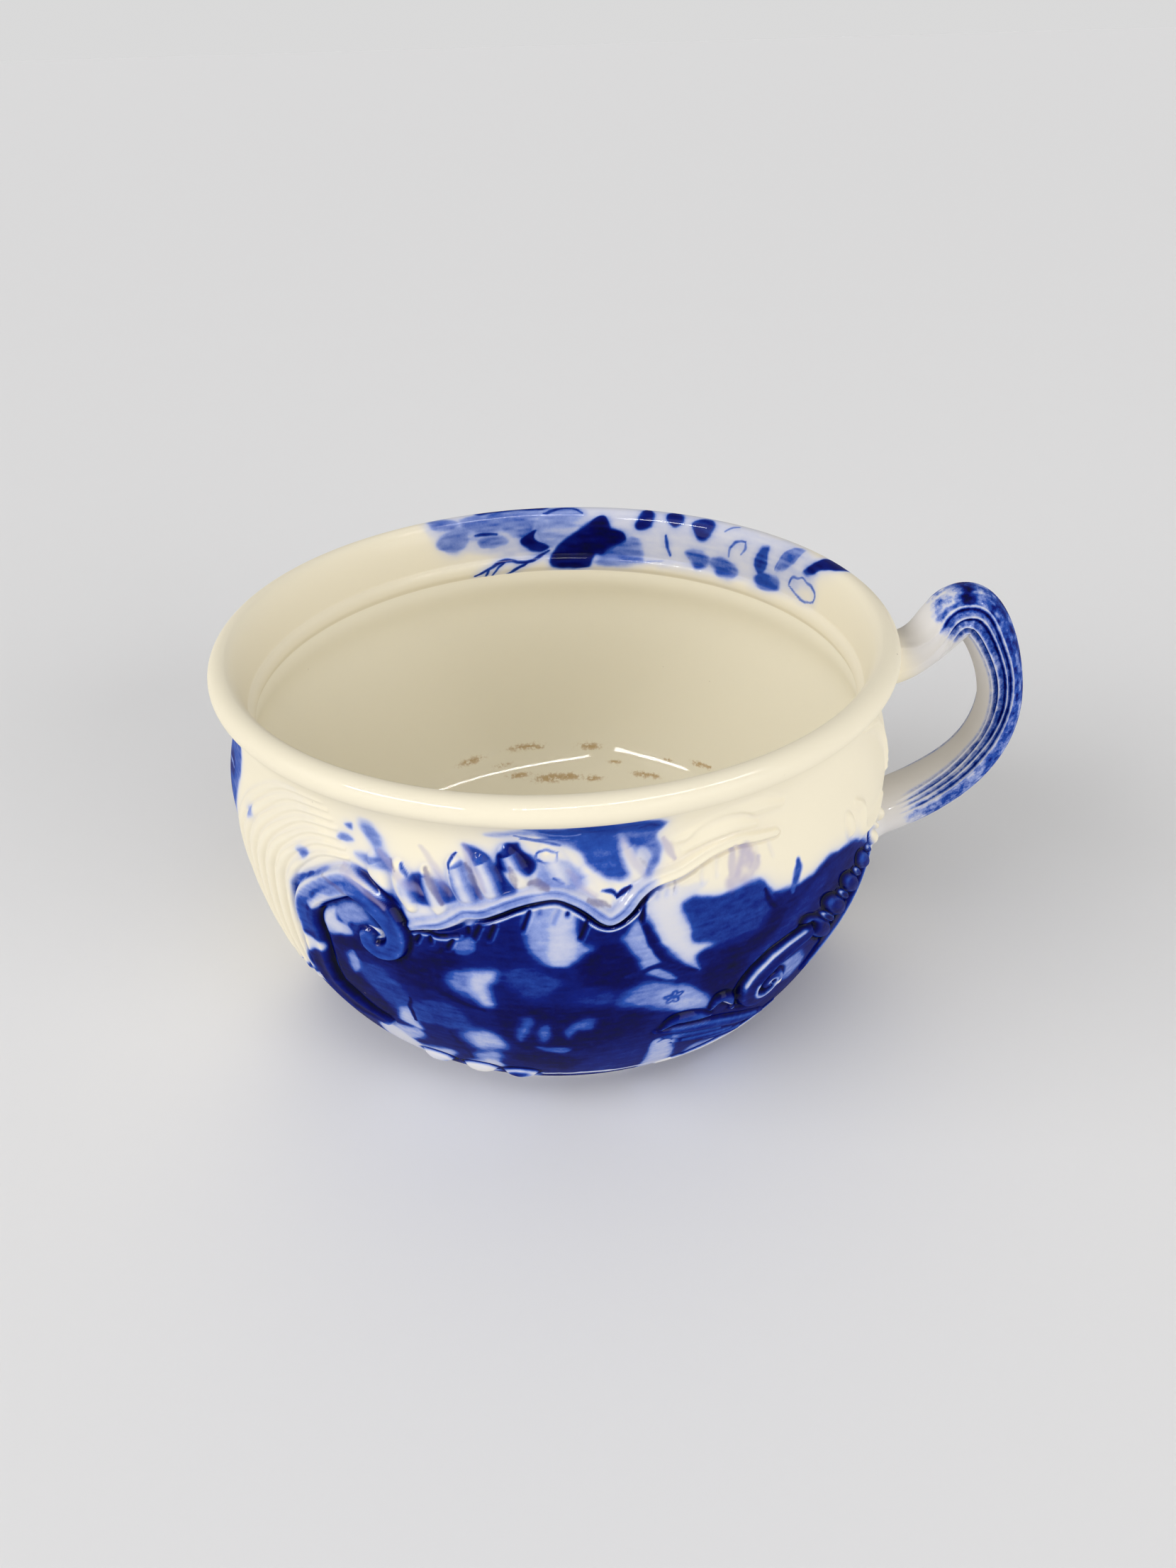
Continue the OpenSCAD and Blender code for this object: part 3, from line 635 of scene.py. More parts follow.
def raise_ribbon(relief):
    """The ribbon across the front, over the cuts that hang from it."""
    inks = (("dark", 0, 0.62, 1, 0, 1), ("pale", 1.7, 0.4, 0.35, 0, 1))
    for line in INKED_CUTS:
        cut = relief.bowl.laid(line)
        relief.band(cut, half_width=0.85, height=0.7, section=CUT_LINE, swell=even, inks=inks)
    inks = (("dark", 0, 0.8, 0.16, 0, 1),)
    for line in BARE_CUTS:
        cut = relief.bowl.laid(line)
        relief.band(cut, half_width=1.2, height=0.45, section=CUT_LINE, inks=inks)
    inks = (("dark", 0, 0.8, 1, 0, 0.8), ("pale", -1.6, 0.5, 0.9, 0, 1))
    relief.band(relief.line(LOW_CUT), half_width=0.9, height=0.7, section=CUT_LINE, swell=even, inks=inks)
    inks = (
        ("tint", 0, 2.2, 1.3, 0, 0.66), ("dark", -1.25, 0.7, 1.7, 0.2, 0.68),
        ("dark", -1.2, 0.4, 0.8, 0.68, 0.76), ("pale", -2.0, 0.4, 1.2, 0.2, 0.68),
        ("pale", -0.6, 0.35, 0.5, 0.02, 0.66), ("pale", 0.75, 0.5, 0.7, 0.02, 0.72),
        ("dark", 0.15, 0.28, 0.2, 0.04, 0.66),
    )
    line = relief.line(RIBBON)
    relief.band(line, half_width=2.1, height=1.9, section=RIBBON_BAND, swell=ribbon_swell, inks=inks)


def raise_scroll(relief):
    """The large scroll on the left of the front."""
    # The dark line at 1.22 half widths, from 0.68 to 0.9 of the run, is painted shade along the coil's outer
    # side
    inks = (
        ("dark", -1.16, 0.65, 1.3, 0.04, 0.52), ("dark", -1.02, 0.4, 1, 0.52, 0.98),
        ("pale", -1.55, 0.5, 0.7, 0.02, 0.3), ("pale", 0.85, 0.7, 1, 0.32, 0.72),
        ("dark", 1.22, 1.0, 1, 0.68, 0.9), ("dark", 1.1, 0.5, 1, 0.88, 1), ("pale", 1.0, 0.6, 0.8, 0.1, 0.34),
    )
    line = relief.line(SCROLL)
    relief.band(line, half_width=4.5, height=2.3, section=SCROLL_BAND, swell=scroll_swell, inks=inks)


def raise_ornament(relief):
    """Raises all the ornament of one side, each kind over the ones before it."""
    raise_flutes(relief)
    raise_neck(relief)
    raise_leaf(relief)
    raise_chain(relief)
    raise_handle_scroll(relief)
    raise_ribbon(relief)
    raise_scroll(relief)
    for place in FOOT_BEADS:
        relief.bead(place, half_length=6.4, half_width=3.6, height=1.9, turn=4, dark=1.0, pale=1.0)


# Blue print: shares of ink from 0, bare glaze, to 1, pooled navy

DEEP, NAVY = 0.88, 1.0


def open_flower(place, radius):
    """Outline of a flower of five petals, in degrees from the front and height."""
    t = np.linspace(0, 2 * np.pi, 41)
    r = radius * (0.76 + 0.24 * np.sin(5 * t))
    return np.stack([place[0] + r * np.cos(t) / GIRTH, place[1] + r * np.sin(t)], axis=1)


# Washes laid one over another: ink, softness of the edge, outline
BELLY_WASHES = (
    (DEEP, 1.2, (
        (-43.5, 88), (-44.5, 75), (-44.5, 60), (-46.5, 47), (-54, 41), (-62, 33), (-70, 16), (-74, 4),
        (78, 4), (76, 30), (71, 55), (62, 73), (54, 84), (49.5, 86.3), (45.8, 87.5), (42, 85.2),
        (37.2, 85.5), (33.1, 88.1), (31.1, 93), (27, 93), (22, 94), (13, 99), (8, 92), (1, 99), (-8, 95),
        (-14, 91), (-21, 88), (-23.5, 95), (-30, 99), (-38, 95),
    )),
    (0.65, 1.6, (
        (-32, 64.5), (-28, 66.5), (-25.3, 61), (-24, 57), (-25, 50), (-28.5, 46.5), (-31, 52), (-33, 60),
    )),
    (0.66, 1.2, (
        (-23.8, 55), (-20.5, 57), (-17, 57), (-14.5, 48), (-17, 44), (-21, 44), (-24.5, 44), (-24.8, 49),
    )),
    (0.66, 2.0, (
        (-7, 75.8), (-3.9, 76.8), (-1.7, 74.7), (0.2, 71), (-1.9, 64.3), (-4.3, 63.4), (-7, 67), (-8.2, 71),
    )),
    (0.72, 2.6, ((2, 66), (7, 65), (10, 62), (6, 59), (2, 61))),
    (0.68, 1.6, (
        (18.8, 93.9), (24.3, 92.5), (30.8, 93), (33.5, 82), (30.4, 75), (26.6, 75), (23, 75), (19.9, 81.4),
    )),
    (0.76, 1.8, (
        (30, 56.4), (30.5, 63.8), (33.1, 66.5), (37, 72), (42, 82), (46, 80), (42, 70), (35.4, 61),
        (31, 52.6),
    )),
    (0.64, 1.8, ((-32, 80), (-28, 91), (-22, 86), (-21.5, 77), (-25, 71.5), (-30, 74))),
    (NAVY, 1.2, (
        (-39, 64.5), (-36.6, 64.3), (-34.8, 59.4), (-32.7, 56), (-29, 43), (-33.2, 36), (-38.8, 40),
        (-40.4, 49),
    )),
    (NAVY, 1.0, ((-36.9, 72.3), (-31.7, 77.8), (-30.8, 72.2), (-33.3, 68.8), (-35.7, 64.6))),
    (NAVY, 1.8, ((-25, 70), (-19, 78), (-13, 80), (-16, 73), (-18, 65), (-22, 61))),
    (NAVY, 1.6, (
        (5, 84.7), (8.5, 83.7), (10.6, 79.6), (11.8, 73.5), (11, 67), (9.2, 64.5), (4.6, 68), (2.8, 70),
        (3.2, 77),
    )),
    (NAVY, 1.8, (
        (22.7, 68), (25, 72), (29.5, 71.8), (29.7, 66), (28.9, 59), (29.2, 51), (23.6, 53), (21.7, 58),
    )),
    (NAVY, 1.4, ((33.8, 81.5), (36.6, 77.5), (35.5, 72), (32.9, 68), (29.5, 66), (29.3, 71.8), (32.5, 74))),
    (NAVY, 2.2, ((-10, 56), (-4, 60), (6, 58), (13, 54), (13, 44), (6, 40), (-3, 34), (-9, 44))),
    (NAVY, 2.0, ((-9, 34), (-2, 34), (4, 28), (0, 22), (-7, 26))),
    (NAVY, 2.0, ((44, 66), (52, 74), (58, 71), (52, 58), (46, 56))),
    (0.8, 2.4, ((4, 30), (12, 34), (14, 24), (10, 12), (0, 12))),
    (0.12, 1.2, (
        (-38.1, 81.8), (-35, 84.9), (-34.9, 80.6), (-33, 79.9), (-32.5, 77), (-36.7, 72.8), (-38.3, 73.5),
    )),
    (0.34, 1.2, ((-35, 85), (-31.5, 89), (-29, 88.5), (-31.5, 84), (-33.5, 80))),
    (0.26, 1.0, ((-34.5, 67.2), (-32.9, 69.5), (-32.2, 64), (-34.4, 58.4), (-35.1, 62))),
    (0.16, 1.2, ((-27.6, 46.6), (-25, 50.4), (-24.8, 45.7), (-24.2, 38.2), (-26.4, 39.3), (-28.4, 41.5))),
    (0.4, 2.2, ((-15.3, 72), (-12.8, 73.7), (-12, 66), (-13.2, 62.1), (-16.3, 65.5), (-16.6, 69.2))),
    (0.14, 1.6, (
        (-12.6, 73.4), (-9.2, 74.7), (-9.4, 71), (-10.6, 67.5), (-9.8, 60), (-11.5, 58), (-12.9, 61),
        (-13.2, 67),
    )),
    (0.36, 2.0, (
        (-16.7, 41.1), (-14.4, 46), (-12.6, 46.9), (-10.1, 44.5), (-9.5, 40.5), (-10, 35.8), (-14.8, 33.2),
    )),
    (0.22, 1.6, ((-15.4, 41.6), (-12.6, 45), (-10.4, 43), (-10, 38), (-12, 37), (-14.6, 36))),
    (0.3, 1.6, ((-15.4, 30.3), (-12.2, 34.1), (-10.8, 31.7), (-11.5, 25), (-15.9, 26))),
    (0.3, 1.6, (
        (-3.8, 98), (1.8, 98.5), (2.6, 86.5), (4.8, 83.4), (3.2, 80.4), (0.7, 76.9), (-2.4, 79), (-4.2, 85),
    )),
    (0.16, 1.0, ((-0.9, 96), (1.7, 96), (2.1, 90), (2.4, 80.5), (0.6, 77.6), (-1.2, 79), (-1.5, 87))),
    (0.26, 1.1, (
        (11.9, 90.7), (9.6, 87.2), (8.9, 84.9), (11.4, 78), (11.9, 72), (15.8, 66.7), (17.6, 66.6),
        (14.4, 73), (14.9, 76),
    )),
    (0.08, 1.1, (
        (13, 98), (22, 99), (18.8, 95), (17.8, 92.5), (19.4, 84.4), (20.1, 79), (23.2, 76.5), (20.3, 73.4),
        (21, 66.6), (18.2, 73.4), (15.4, 80.6), (13.6, 89),
    )),
    (0.42, 1.8, ((8.9, 59), (12.5, 66.5), (19.7, 61), (24.6, 48), (22.3, 46), (17.1, 50.2), (12.2, 56))),
    (0.26, 1.3, ((14.4, 62), (19, 60.5), (23, 53), (24, 47.5), (19, 48.5), (16.5, 54))),
    (0.2, 1.2, ((14.9, 35.7), (19.4, 35), (19.6, 27), (20.4, 15), (18, 8), (14.4, 9), (15, 26.6))),
    (0.22, 1.4, ((-33, 33), (-27.5, 37.5), (-25, 38), (-24.5, 33), (-30, 25), (-35, 20))),
    (0.17, 1.5, ((-25, 26), (-21, 28.5), (-20, 25), (-24, 17), (-27, 11), (-31, 11), (-31, 20))),
    (0.14, 1.5, ((-19.5, 20), (-14, 26), (-11, 24), (-12, 17), (-16, 9), (-20, 9), (-20.5, 14))),
    (0.3, 1.2, ((-10, 15), (-6, 19), (-5, 17), (-6, 8), (-10.5, 8))),
    (0.34, 1.8, ((24, 22), (30, 20), (38, 15), (42, 8), (30, 7), (24, 12))),
    (0.05, 0.9, ((-44.5, 68), (-39.8, 66.5), (-40, 62.7), (-44.7, 59.5), (-46, 62))),
    (0.97, 0.9, ((-44.7, 58.9), (-40.2, 62.2), (-40.3, 56), (-41.5, 49.4), (-45, 45), (-46.6, 50.5))),
    (0.16, 1.0, ((-48, 44), (-44.4, 44), (-44, 41), (-49, 34), (-52, 36))),
    (0.58, 1.0, (
        (-43.3, 84), (-40.5, 88), (-39.4, 86), (-40.7, 79.3), (-40.9, 71.5), (-43.5, 70), (-44.2, 77),
    )),
    (0.42, 1.3, (
        (-6.7, 50.2), (-5.7, 54), (-4.5, 54.2), (-4.5, 50.5), (-5.6, 44.5), (-6.5, 41.8), (-7.3, 43.7),
    )),
    (0.42, 1.3, ((-3.4, 49.7), (-2, 51.1), (-1.6, 48.3), (-2.2, 43.8), (-3.1, 41.7), (-3.7, 43.8))),
    (0.42, 1.3, (
        (0.4, 46.6), (1.8, 51.2), (3.8, 53.9), (5.1, 53.1), (4.6, 48.7), (2.6, 47.7), (0.9, 43.5),
    )),
    (0.4, 0.9, (
        (-4.1, 39.4), (-2.4, 38.4), (0, 38.8), (1.4, 36.9), (-0.1, 35.3), (-2.4, 36.1), (-4.1, 37.7),
    )),
    (0.4, 0.9, ((-14.6, 84.7), (-12.7, 87.3), (-11.7, 85.6), (-11.8, 82.3), (-13, 79.9), (-14.8, 80))),
    (0.35, 1.2, (
        (-34.5, 86.3), (-31.1, 90.3), (-29.3, 88.4), (-28.2, 85.9), (-29.7, 83.5), (-31.4, 82.2),
        (-33.5, 82.5),
    )),
    (0.36, 1.0, (
        (-44, 86), (-42, 90.6), (-38, 95.2), (-33, 99.5), (-29.4, 98.5), (-27.5, 94.6), (-31.5, 95.6),
        (-34, 94), (-38, 89.5), (-41, 84.5),
    )),
    (0.15, 0.9, (
        (-40.2, 83.2), (-38.5, 86.8), (-35.5, 91.9), (-32.6, 94.6), (-31.3, 93.7), (-31.7, 91.1),
        (-34.3, 88.5), (-36.8, 85), (-39.3, 80.6),
    )),
    (0.36, 1.2, ((37.8, 50.7), (43, 52), (46, 44), (43, 38), (39.4, 42))),
    (0.5, 0.8, ((-35.9, 90.1), (-34, 92.7), (-31.8, 94.2), (-32, 92.4), (-34.5, 89.9))),
    (0.5, 0.9, (
        (-31.7, 97.3), (-29.7, 96.4), (-27.5, 94.3), (-25.7, 91.4), (-24.7, 88.2), (-25.9, 87.5),
        (-27.6, 90.8), (-29.4, 92.6), (-31.3, 93.7),
    )),
    (0.1, 1.0, (
        (-34.3, 35.2), (-33.1, 32.9), (-30.5, 32.2), (-28.7, 28.4), (-27.3, 23.3), (-29, 12.7),
        (-31.8, 13.6), (-35.4, 15.1), (-38.3, 16.8), (-36.4, 25),
    )),
)
# Petals, veins and twigs drawn over the washes: ink, half width, line
BELLY_STROKES = (
    (0.96, 1.2, ((12.7, 98), (12.1, 92), (13.2, 85), (15, 77), (17.4, 71.6), (20.4, 66.8))),
    (DEEP, 1.0, ((9.5, 70.5), (13, 73), (15.5, 73.4), (18, 71))),
    (0.55, 0.7, ((16, 34), (17.5, 35.5), (18.6, 33.4))), (NAVY, 0.8, ((-24.3, 56), (-25, 50), (-24.9, 44))),
    (NAVY, 1.4, ((-17, 80), (-20, 71), (-18, 62), (-12, 56))),
    (0.97, 1.2, ((-18.5, 42), (-17.5, 33), (-17, 25))), (NAVY, 1.0, ((31.5, 90), (32.8, 84), (35, 80))),
    (0.56, 1.7, ((37.6, 84), (38.2, 89), (38.4, 93.6))), (0.6, 0.9, ((16.6, 57.8), (17.8, 57.4))),
    (0.08, 0.8, ((-32.8, 100.4), (-30.7, 99.5), (-28.1, 97.8), (-25.6, 95.4), (-23.3, 92.1))),
    (0.12, 1.3, ((-6, 15.6), (-1, 15.6), (6, 15.2), (13.2, 14.6), (21, 14))),
    (0.1, 1.0, ((40, 44.4), (38.3, 43.4), (36.7, 44.5))),
    (0.1, 0.6, ((-28.6, 82), (-27, 81.4), (-26.4, 79.6), (-27.3, 78.2))),
)
# A small open flower low on the front: ink, half width, place, radius in millimetres
LINE_FLOWER = (0.6, 0.6, (17.2, 57.6), 3.0)
# Washes between the ribbon and the lip
NECK_WASHES = (
    (0.68, 0.8, ((-13.4, 115.6), (-10.6, 114.6), (-8.4, 109), (-5.4, 102.4), (-9, 100.4), (-10.4, 107))),
    (0.6, 0.8, ((-15, 107.4), (-13.4, 110), (-11.6, 104), (-10.6, 99.6), (-14, 99.4))),
    (0.64, 0.8, ((-22.4, 101.5), (-19.4, 104.5), (-16.4, 103), (-14.2, 98.4), (-17, 96), (-22, 96.5))),
    (0.95, 0.7, (
        (-7.3, 115.2), (-5, 117), (-4.4, 114), (-2.8, 109.8), (-4, 106.9), (-6, 108.3), (-8.4, 108.4),
    )),
    (0.56, 1.0, (
        (-3.7, 122.9), (3, 123.4), (9, 123.4), (9.2, 113.7), (10.3, 106), (8.2, 104), (5.3, 108),
        (3, 114.4), (-0.6, 117),
    )),
    (0.5, 0.9, (
        (9.2, 123.4), (15.8, 121.5), (14.6, 116), (15.3, 110), (14, 105.4), (12.6, 104.4), (10.8, 112),
    )),
    (0.66, 0.9, (
        (-2.2, 121.4), (2.9, 122.9), (8, 123.3), (15, 121.7), (14.4, 118.6), (8.2, 119.4), (2.9, 119.4),
    )),
    (0.1, 0.7, ((10.8, 109.4), (11.7, 113), (12.8, 112.8), (13.7, 109.6), (12.5, 105.8), (11.3, 106.4))),
    (0.3, 1.3, ((-9, 121), (-3, 122.5), (-3, 119.5), (-9, 119.6))),
    (0.4, 1.2, ((-29.8, 115), (-27.6, 115.6), (-25.4, 109), (-23.6, 103.6), (-25.2, 103), (-27.6, 109))),
    (0.3, 1.0, ((-3, 107), (-0.4, 112), (2.6, 109), (4.6, 104), (1, 101.5), (-2, 103))),
    (0.56, 0.7, ((-42.6, 99), (-41, 100), (-40.4, 98.4), (-42, 97))),
    (0.52, 0.7, ((-34.4, 108.5), (-32.4, 110.6), (-31.2, 109.4), (-33, 107.4))),
    (0.66, 0.6, ((-32.5, 113.4), (-31.2, 114.4), (-31.2, 112.6))),
    (0.62, 0.6, ((-38.4, 93.4), (-36, 95.6), (-37.4, 95.4))),
    (0.4, 0.8, ((-58.5, 97), (-57.2, 99.5), (-56.4, 97), (-57.8, 95))),
    (0.7, 0.7, ((-40.6, 91.4), (-38, 94.2), (-40, 93.6))),
    (0.5, 1.0, ((-31, 104.5), (-27, 106), (-25, 103.5), (-29, 103))),
)
# Half of the spray on the side opposite the handle; the other half mirrors it
SIDE_WASHES = (
    (0.5, 2.0, (
        (-100, 79), (-86, 79), (-74, 81), (-68, 87), (-65.5, 97), (-64.8, 109), (-67, 117), (-80, 119.5),
        (-100, 119.5),
    )),
    (0.92, 0.9, ((-87, 85), (-81, 82), (-75, 84.6), (-70.6, 91.6), (-76.4, 92), (-82, 89.6))),
    (0.8, 0.9, ((-79.4, 97), (-75.4, 101.4), (-70.8, 103), (-68.8, 99.4), (-72, 95.4), (-76, 94.6))),
    (0.88, 0.9, ((-84.4, 110.4), (-79.4, 115), (-73.4, 116.6), (-70.4, 112.4), (-74.6, 108), (-80, 107.4))),
    (0.62, 0.7, ((-88.2, 73.6), (-85.6, 77), (-83.4, 75.4), (-85.6, 72))),
    (0.56, 0.7, ((-82, 71.6), (-79, 74.6), (-76.8, 72.4), (-79.4, 69.8))),
    (0.6, 0.7, ((-88.6, 66), (-86.8, 69.2), (-85, 66.8), (-87, 63.6))),
    (0.4, 0.7, ((-78.4, 79.6), (-75.6, 80.8), (-74, 78.4), (-76.6, 77))),
    (0.12, 1.0, open_flower((-90, 99), 13.5)),
    (0.9, 0.7, open_flower((-90, 99), 3.4)),
)
SIDE_STROKES = (
    (0.35, 0.5, ((-86, 86), (-79.4, 86.8), (-72.6, 90.8))),
    (0.35, 0.5, ((-78.4, 97), (-74, 98.8), (-70, 100.4))),
    (0.35, 0.5, ((-83.4, 110), (-77.6, 111.8), (-72.2, 113.4))),
    (0.7, 0.5, ((-90, 82), (-87.6, 76.6), (-86.4, 71), (-87, 66))),
    (0.6, 0.5, ((-87.4, 78), (-83.4, 75), (-79.4, 72.2))),
    (0.5, 0.5, ((-88.6, 101), (-87.6, 104.4), (-87.8, 107.6))),
    (0.5, 0.5, ((-88.4, 99.6), (-86, 101), (-84.6, 101.2))),
    (0.5, 0.5, ((-88.6, 97.2), (-87.2, 94.4), (-86.8, 90.6))),
    (0.62, 0.6, ((-88.2, 98.4), (-85.4, 97.4), (-83.6, 96.2))),
    (0.5, 0.5, ((-90, 101.4), (-90, 105), (-90, 109))),
)
# Fine lines of the print above the ribbon
NECK_STROKES = (
    (0.8, 0.7, ((6.3, 101.3), (7.8, 100.5), (8.5, 98.8))),
    (0.95, 0.8, ((8.5, 99), (9.6, 100.6), (10.4, 102.1))),
    (0.5, 0.4, ((-2.6, 112.6), (-1.4, 114.4), (0.2, 113.6))),
    (0.5, 0.4, ((0.2, 113.6), (0, 111), (-1.6, 110.4))),
    (0.5, 0.4, ((-1.6, 110.4), (-2.8, 111), (-2.6, 112.6))),
    (0.48, 0.4, ((-5.4, 119.4), (-2, 117.6), (2, 118))),
    (0.48, 0.4, ((-2, 120.4), (1.6, 119.2), (4, 120.2))),
    (0.5, 0.5, ((-4.4, 118), (-1.6, 116.6), (0.6, 115.6))),
    (0.7, 0.5, ((-14.4, 112.6), (-15.2, 109.6), (-14.9, 106.4))),
    (0.76, 0.7, ((12.2, 119.6), (13.6, 120.4), (14.8, 120))), (0.6, 0.7, ((-22.4, 106), (-21.6, 103))),
    (0.8, 0.8, ((-0.6, 105.6), (0.8, 104.4))),
)
# Brownish violet ink that gathers in hollows: strength, half width, line
VIOLET_STROKES = (
    (1, 1.5, ((-18.9, 105.8), (-17.6, 101.4), (-16.4, 97.4))),
    (0.9, 1.3, ((-12.6, 109), (-11.6, 104.6), (-10.4, 99.6))),
    (0.8, 1.2, ((-6.5, 109.7), (-6, 106.4), (-5.6, 103))),
    (1, 1.5, ((-3.8, 104.4), (-2.4, 104.6), (-1.2, 104))),
    (0.9, 1.5, ((4.6, 99.8), (6, 98.4), (7.4, 96.6))), (0.8, 0.9, ((-24.9, 106.4), (-23.7, 103.4))),
    (0.5, 0.9, ((12.2, 110), (13, 106.4))), (0.6, 0.5, ((17.3, 102), (16.9, 97.4))),
    (0.7, 1.0, ((-36, 96.8), (-31.4, 92.6))),
)
# Thin violet wash: strength, half width, line
LILAC_STROKES = (
    (0.9, 4.6, ((29, 104), (28.6, 99), (26, 95.6))), (0.7, 1.5, ((25.8, 98), (26.4, 102), (27, 106))),
    (0.7, 1.3, ((29.6, 96), (31, 100.4))), (0.45, 1.4, ((-19.4, 112), (-17, 106), (-15, 100))),
    (0.55, 1.5, ((-13, 115), (-11.6, 109), (-9.8, 102))),
    (0.7, 1.2, ((15.6, 114.8), (16.6, 111), (17.6, 107.6))),
    (0.4, 1.5, ((9.6, 116), (11, 110), (12.6, 105.4))),
    (0.5, 1.6, ((-26.6, 108), (-23, 103), (-19.6, 98.4))), (0.6, 1.4, ((-33, 101), (-29, 97.6), (-25, 93))),
    (0.5, 1.6, ((2, 108), (4, 104), (5.4, 101))),
)
# Print inside the lip: ink, softness, outline in degrees from the handle and distance in from the edge
LIP_WASHES = (
    (0.12, 3.0, (
        (120, 8), (104, 4), (84, 4), (60, 5), (34, 6), (24, 14), (34, 27), (60, 30), (90, 30), (112, 22),
    )),
    (0.42, 1.0, ((118.8, 5.7), (116.2, 5.7), (112.2, 8.7), (111.9, 10.7), (114.9, 11.9), (118.5, 10.1))),
    (0.42, 1.0, (
        (117.9, 17.8), (116.4, 13.8), (113.5, 11.8), (110.5, 12.7), (110.1, 15.8), (111.9, 20.3),
        (115.3, 21.9),
    )),
    (0.42, 1.0, ((111.3, 8.4), (107, 8.4), (103, 14), (105.8, 15.6), (110.1, 14))),
    (0.42, 1.0, ((108.1, 18.5), (105.9, 17.3), (102.1, 18.7), (101.5, 21.1), (104.8, 23), (107.4, 22.2))),
    (0.24, 0.7, ((110.6, 15.4), (108, 15.4), (107.6, 17.6), (110, 18.6))),
    (0.4, 1.2, (
        (106, 9.2), (100.6, 5.9), (94, 8.3), (94.6, 14.2), (96.5, 19.5), (101.4, 17.5), (103.6, 13.8),
    )),
    (0.32, 1.4, (
        (94.6, 15.1), (93.6, 9.6), (88.6, 6.1), (83.8, 8.8), (83.1, 11.2), (86.2, 15.8), (90.8, 24.2),
        (93.3, 23.3),
    )),
    (0.97, 0.7, ((98.4, 20.5), (94.5, 17.5), (95, 21.4), (92.1, 24.5), (94, 27), (96.6, 25.4))),
    (1.0, 0.8, (
        (91.6, 29.3), (90.1, 24.8), (86.2, 19), (82.5, 14.5), (80.1, 11.1), (78.8, 12.1), (78.1, 15.3),
        (76.2, 16.4), (74.1, 19.5), (74.1, 25.4), (76, 28.7), (78.6, 28.7), (81.3, 27.4), (82.5, 32.2),
        (86.5, 33.6), (91.3, 32.9),
    )),
    (0.42, 1.0, ((81, 30.6), (74.1, 21), (71, 20.3), (70, 29.3), (65.4, 27.7), (74, 31))),
    (0.9, 0.6, ((72.1, 13.6), (71.4, 9.5), (70, 6.1), (68.4, 9.6), (68.5, 14.2), (71.1, 16.2))),
    (0.86, 0.6, ((65, 10.7), (64.3, 6.7), (62.7, 5.7), (60.9, 10.2), (62.8, 13.4))),
    (0.78, 0.7, ((59.2, 10.3), (55.2, 7.6), (54, 10.3), (55.2, 15.1), (57.6, 16))),
    (0.54, 0.8, ((60.4, 23), (57.4, 21.4), (53.9, 24.2), (56.7, 29.7), (58.6, 26.4))),
    (0.5, 0.8, ((53.9, 24.2), (50.4, 22.2), (46.5, 23.9), (47.2, 29), (50.5, 30.4), (52.9, 28))),
    (0.66, 0.6, (
        (42.1, 18.7), (40.9, 14.2), (38.9, 11.6), (38.9, 15.3), (39.1, 20.5), (40.2, 24.5), (41.4, 22.8),
    )),
    (0.46, 0.6, ((36, 19.8), (34.8, 13.2), (32.5, 8.2), (30.3, 7.8), (31.3, 14), (33.8, 18.5))),
    (0.54, 0.8, ((42.1, 26.4), (38.9, 22.5), (35.1, 22.8), (35.4, 28), (39, 29.3))),
    (0.86, 0.9, ((107, 7.2), (100.6, 6.8), (93, 8.2), (92.6, 5), (100, 3.6), (107.4, 4.6))),
    (0.95, 0.6, ((27.9, 15.1), (25.6, 9.7), (24, 4.6), (18, 4.4), (18.8, 8.5), (23.6, 12.4), (26.4, 15.8))),
)
LIP_STROKES = (
    (0.9, 0.5, ((107.2, 5.9), (100.6, 5.9), (93.5, 6.7))),
    (0.8, 0.7, ((64.8, 17.8), (64.4, 21.5), (63.8, 25.1))),
    (0.6, 0.4, ((50.9, 11.3), (49.5, 8.6), (47.9, 7.4))),
    (0.6, 0.4, ((49, 20.5), (48.8, 16.6), (46.9, 13.6), (44.9, 13.2))),
    (0.6, 0.4, ((44.9, 13.2), (44.6, 16), (45.6, 18.5))),
    (0.66, 0.4, ((31.9, 23), (30.9, 19.2), (27.8, 17.8))),
    (0.66, 0.4, ((27.8, 17.8), (23.4, 20.3), (23.4, 24.5))),
    (0.66, 0.4, ((23.4, 24.5), (27.1, 26.1), (31.9, 23))),
    (0.95, 0.6, ((92.1, 26.4), (95.4, 29.7), (99.3, 30.4), (102.6, 29), (106.6, 31.1), (110, 33.9))),
    (0.9, 0.5, ((97.5, 31), (99.6, 33.6), (102.1, 35.4))),
    (0.9, 0.5, ((102.6, 29.7), (104.6, 32), (105.8, 35.1))),
    (0.85, 0.5, ((106.6, 31.1), (107.2, 33.4), (107.5, 35.4))),
    (0.8, 0.5, ((108.8, 16.4), (106.6, 16.2), (104, 17))), (0.8, 0.5, ((84, 10.4), (88, 7.4), (93, 10.4))),
    (0.5, 0.4, ((36.4, 19.8), (34.6, 12.6), (31.6, 7.6))),
)
# Brown stains low on the far inside: degrees from the handle, distance in from the edge, length, width
STAINS = (
    (116.4, 121, 9, 2.2), (101.3, 119.4, 12, 2.0), (97.5, 120, 5, 1.6), (83.3, 120.6, 8, 2.4),
    (94.2, 135, 13, 3.2), (89, 134.6, 9, 2.6), (82, 135.5, 7, 2.0), (67.3, 131, 7, 2.2),
    (64, 130.4, 5, 1.8), (51.9, 120, 6, 1.8), (49, 119.6, 4, 1.4), (61, 122, 4, 1.3), (108, 126, 6, 1.4),
    (76, 127, 5, 1.3), (104, 132, 8, 1.8),
)


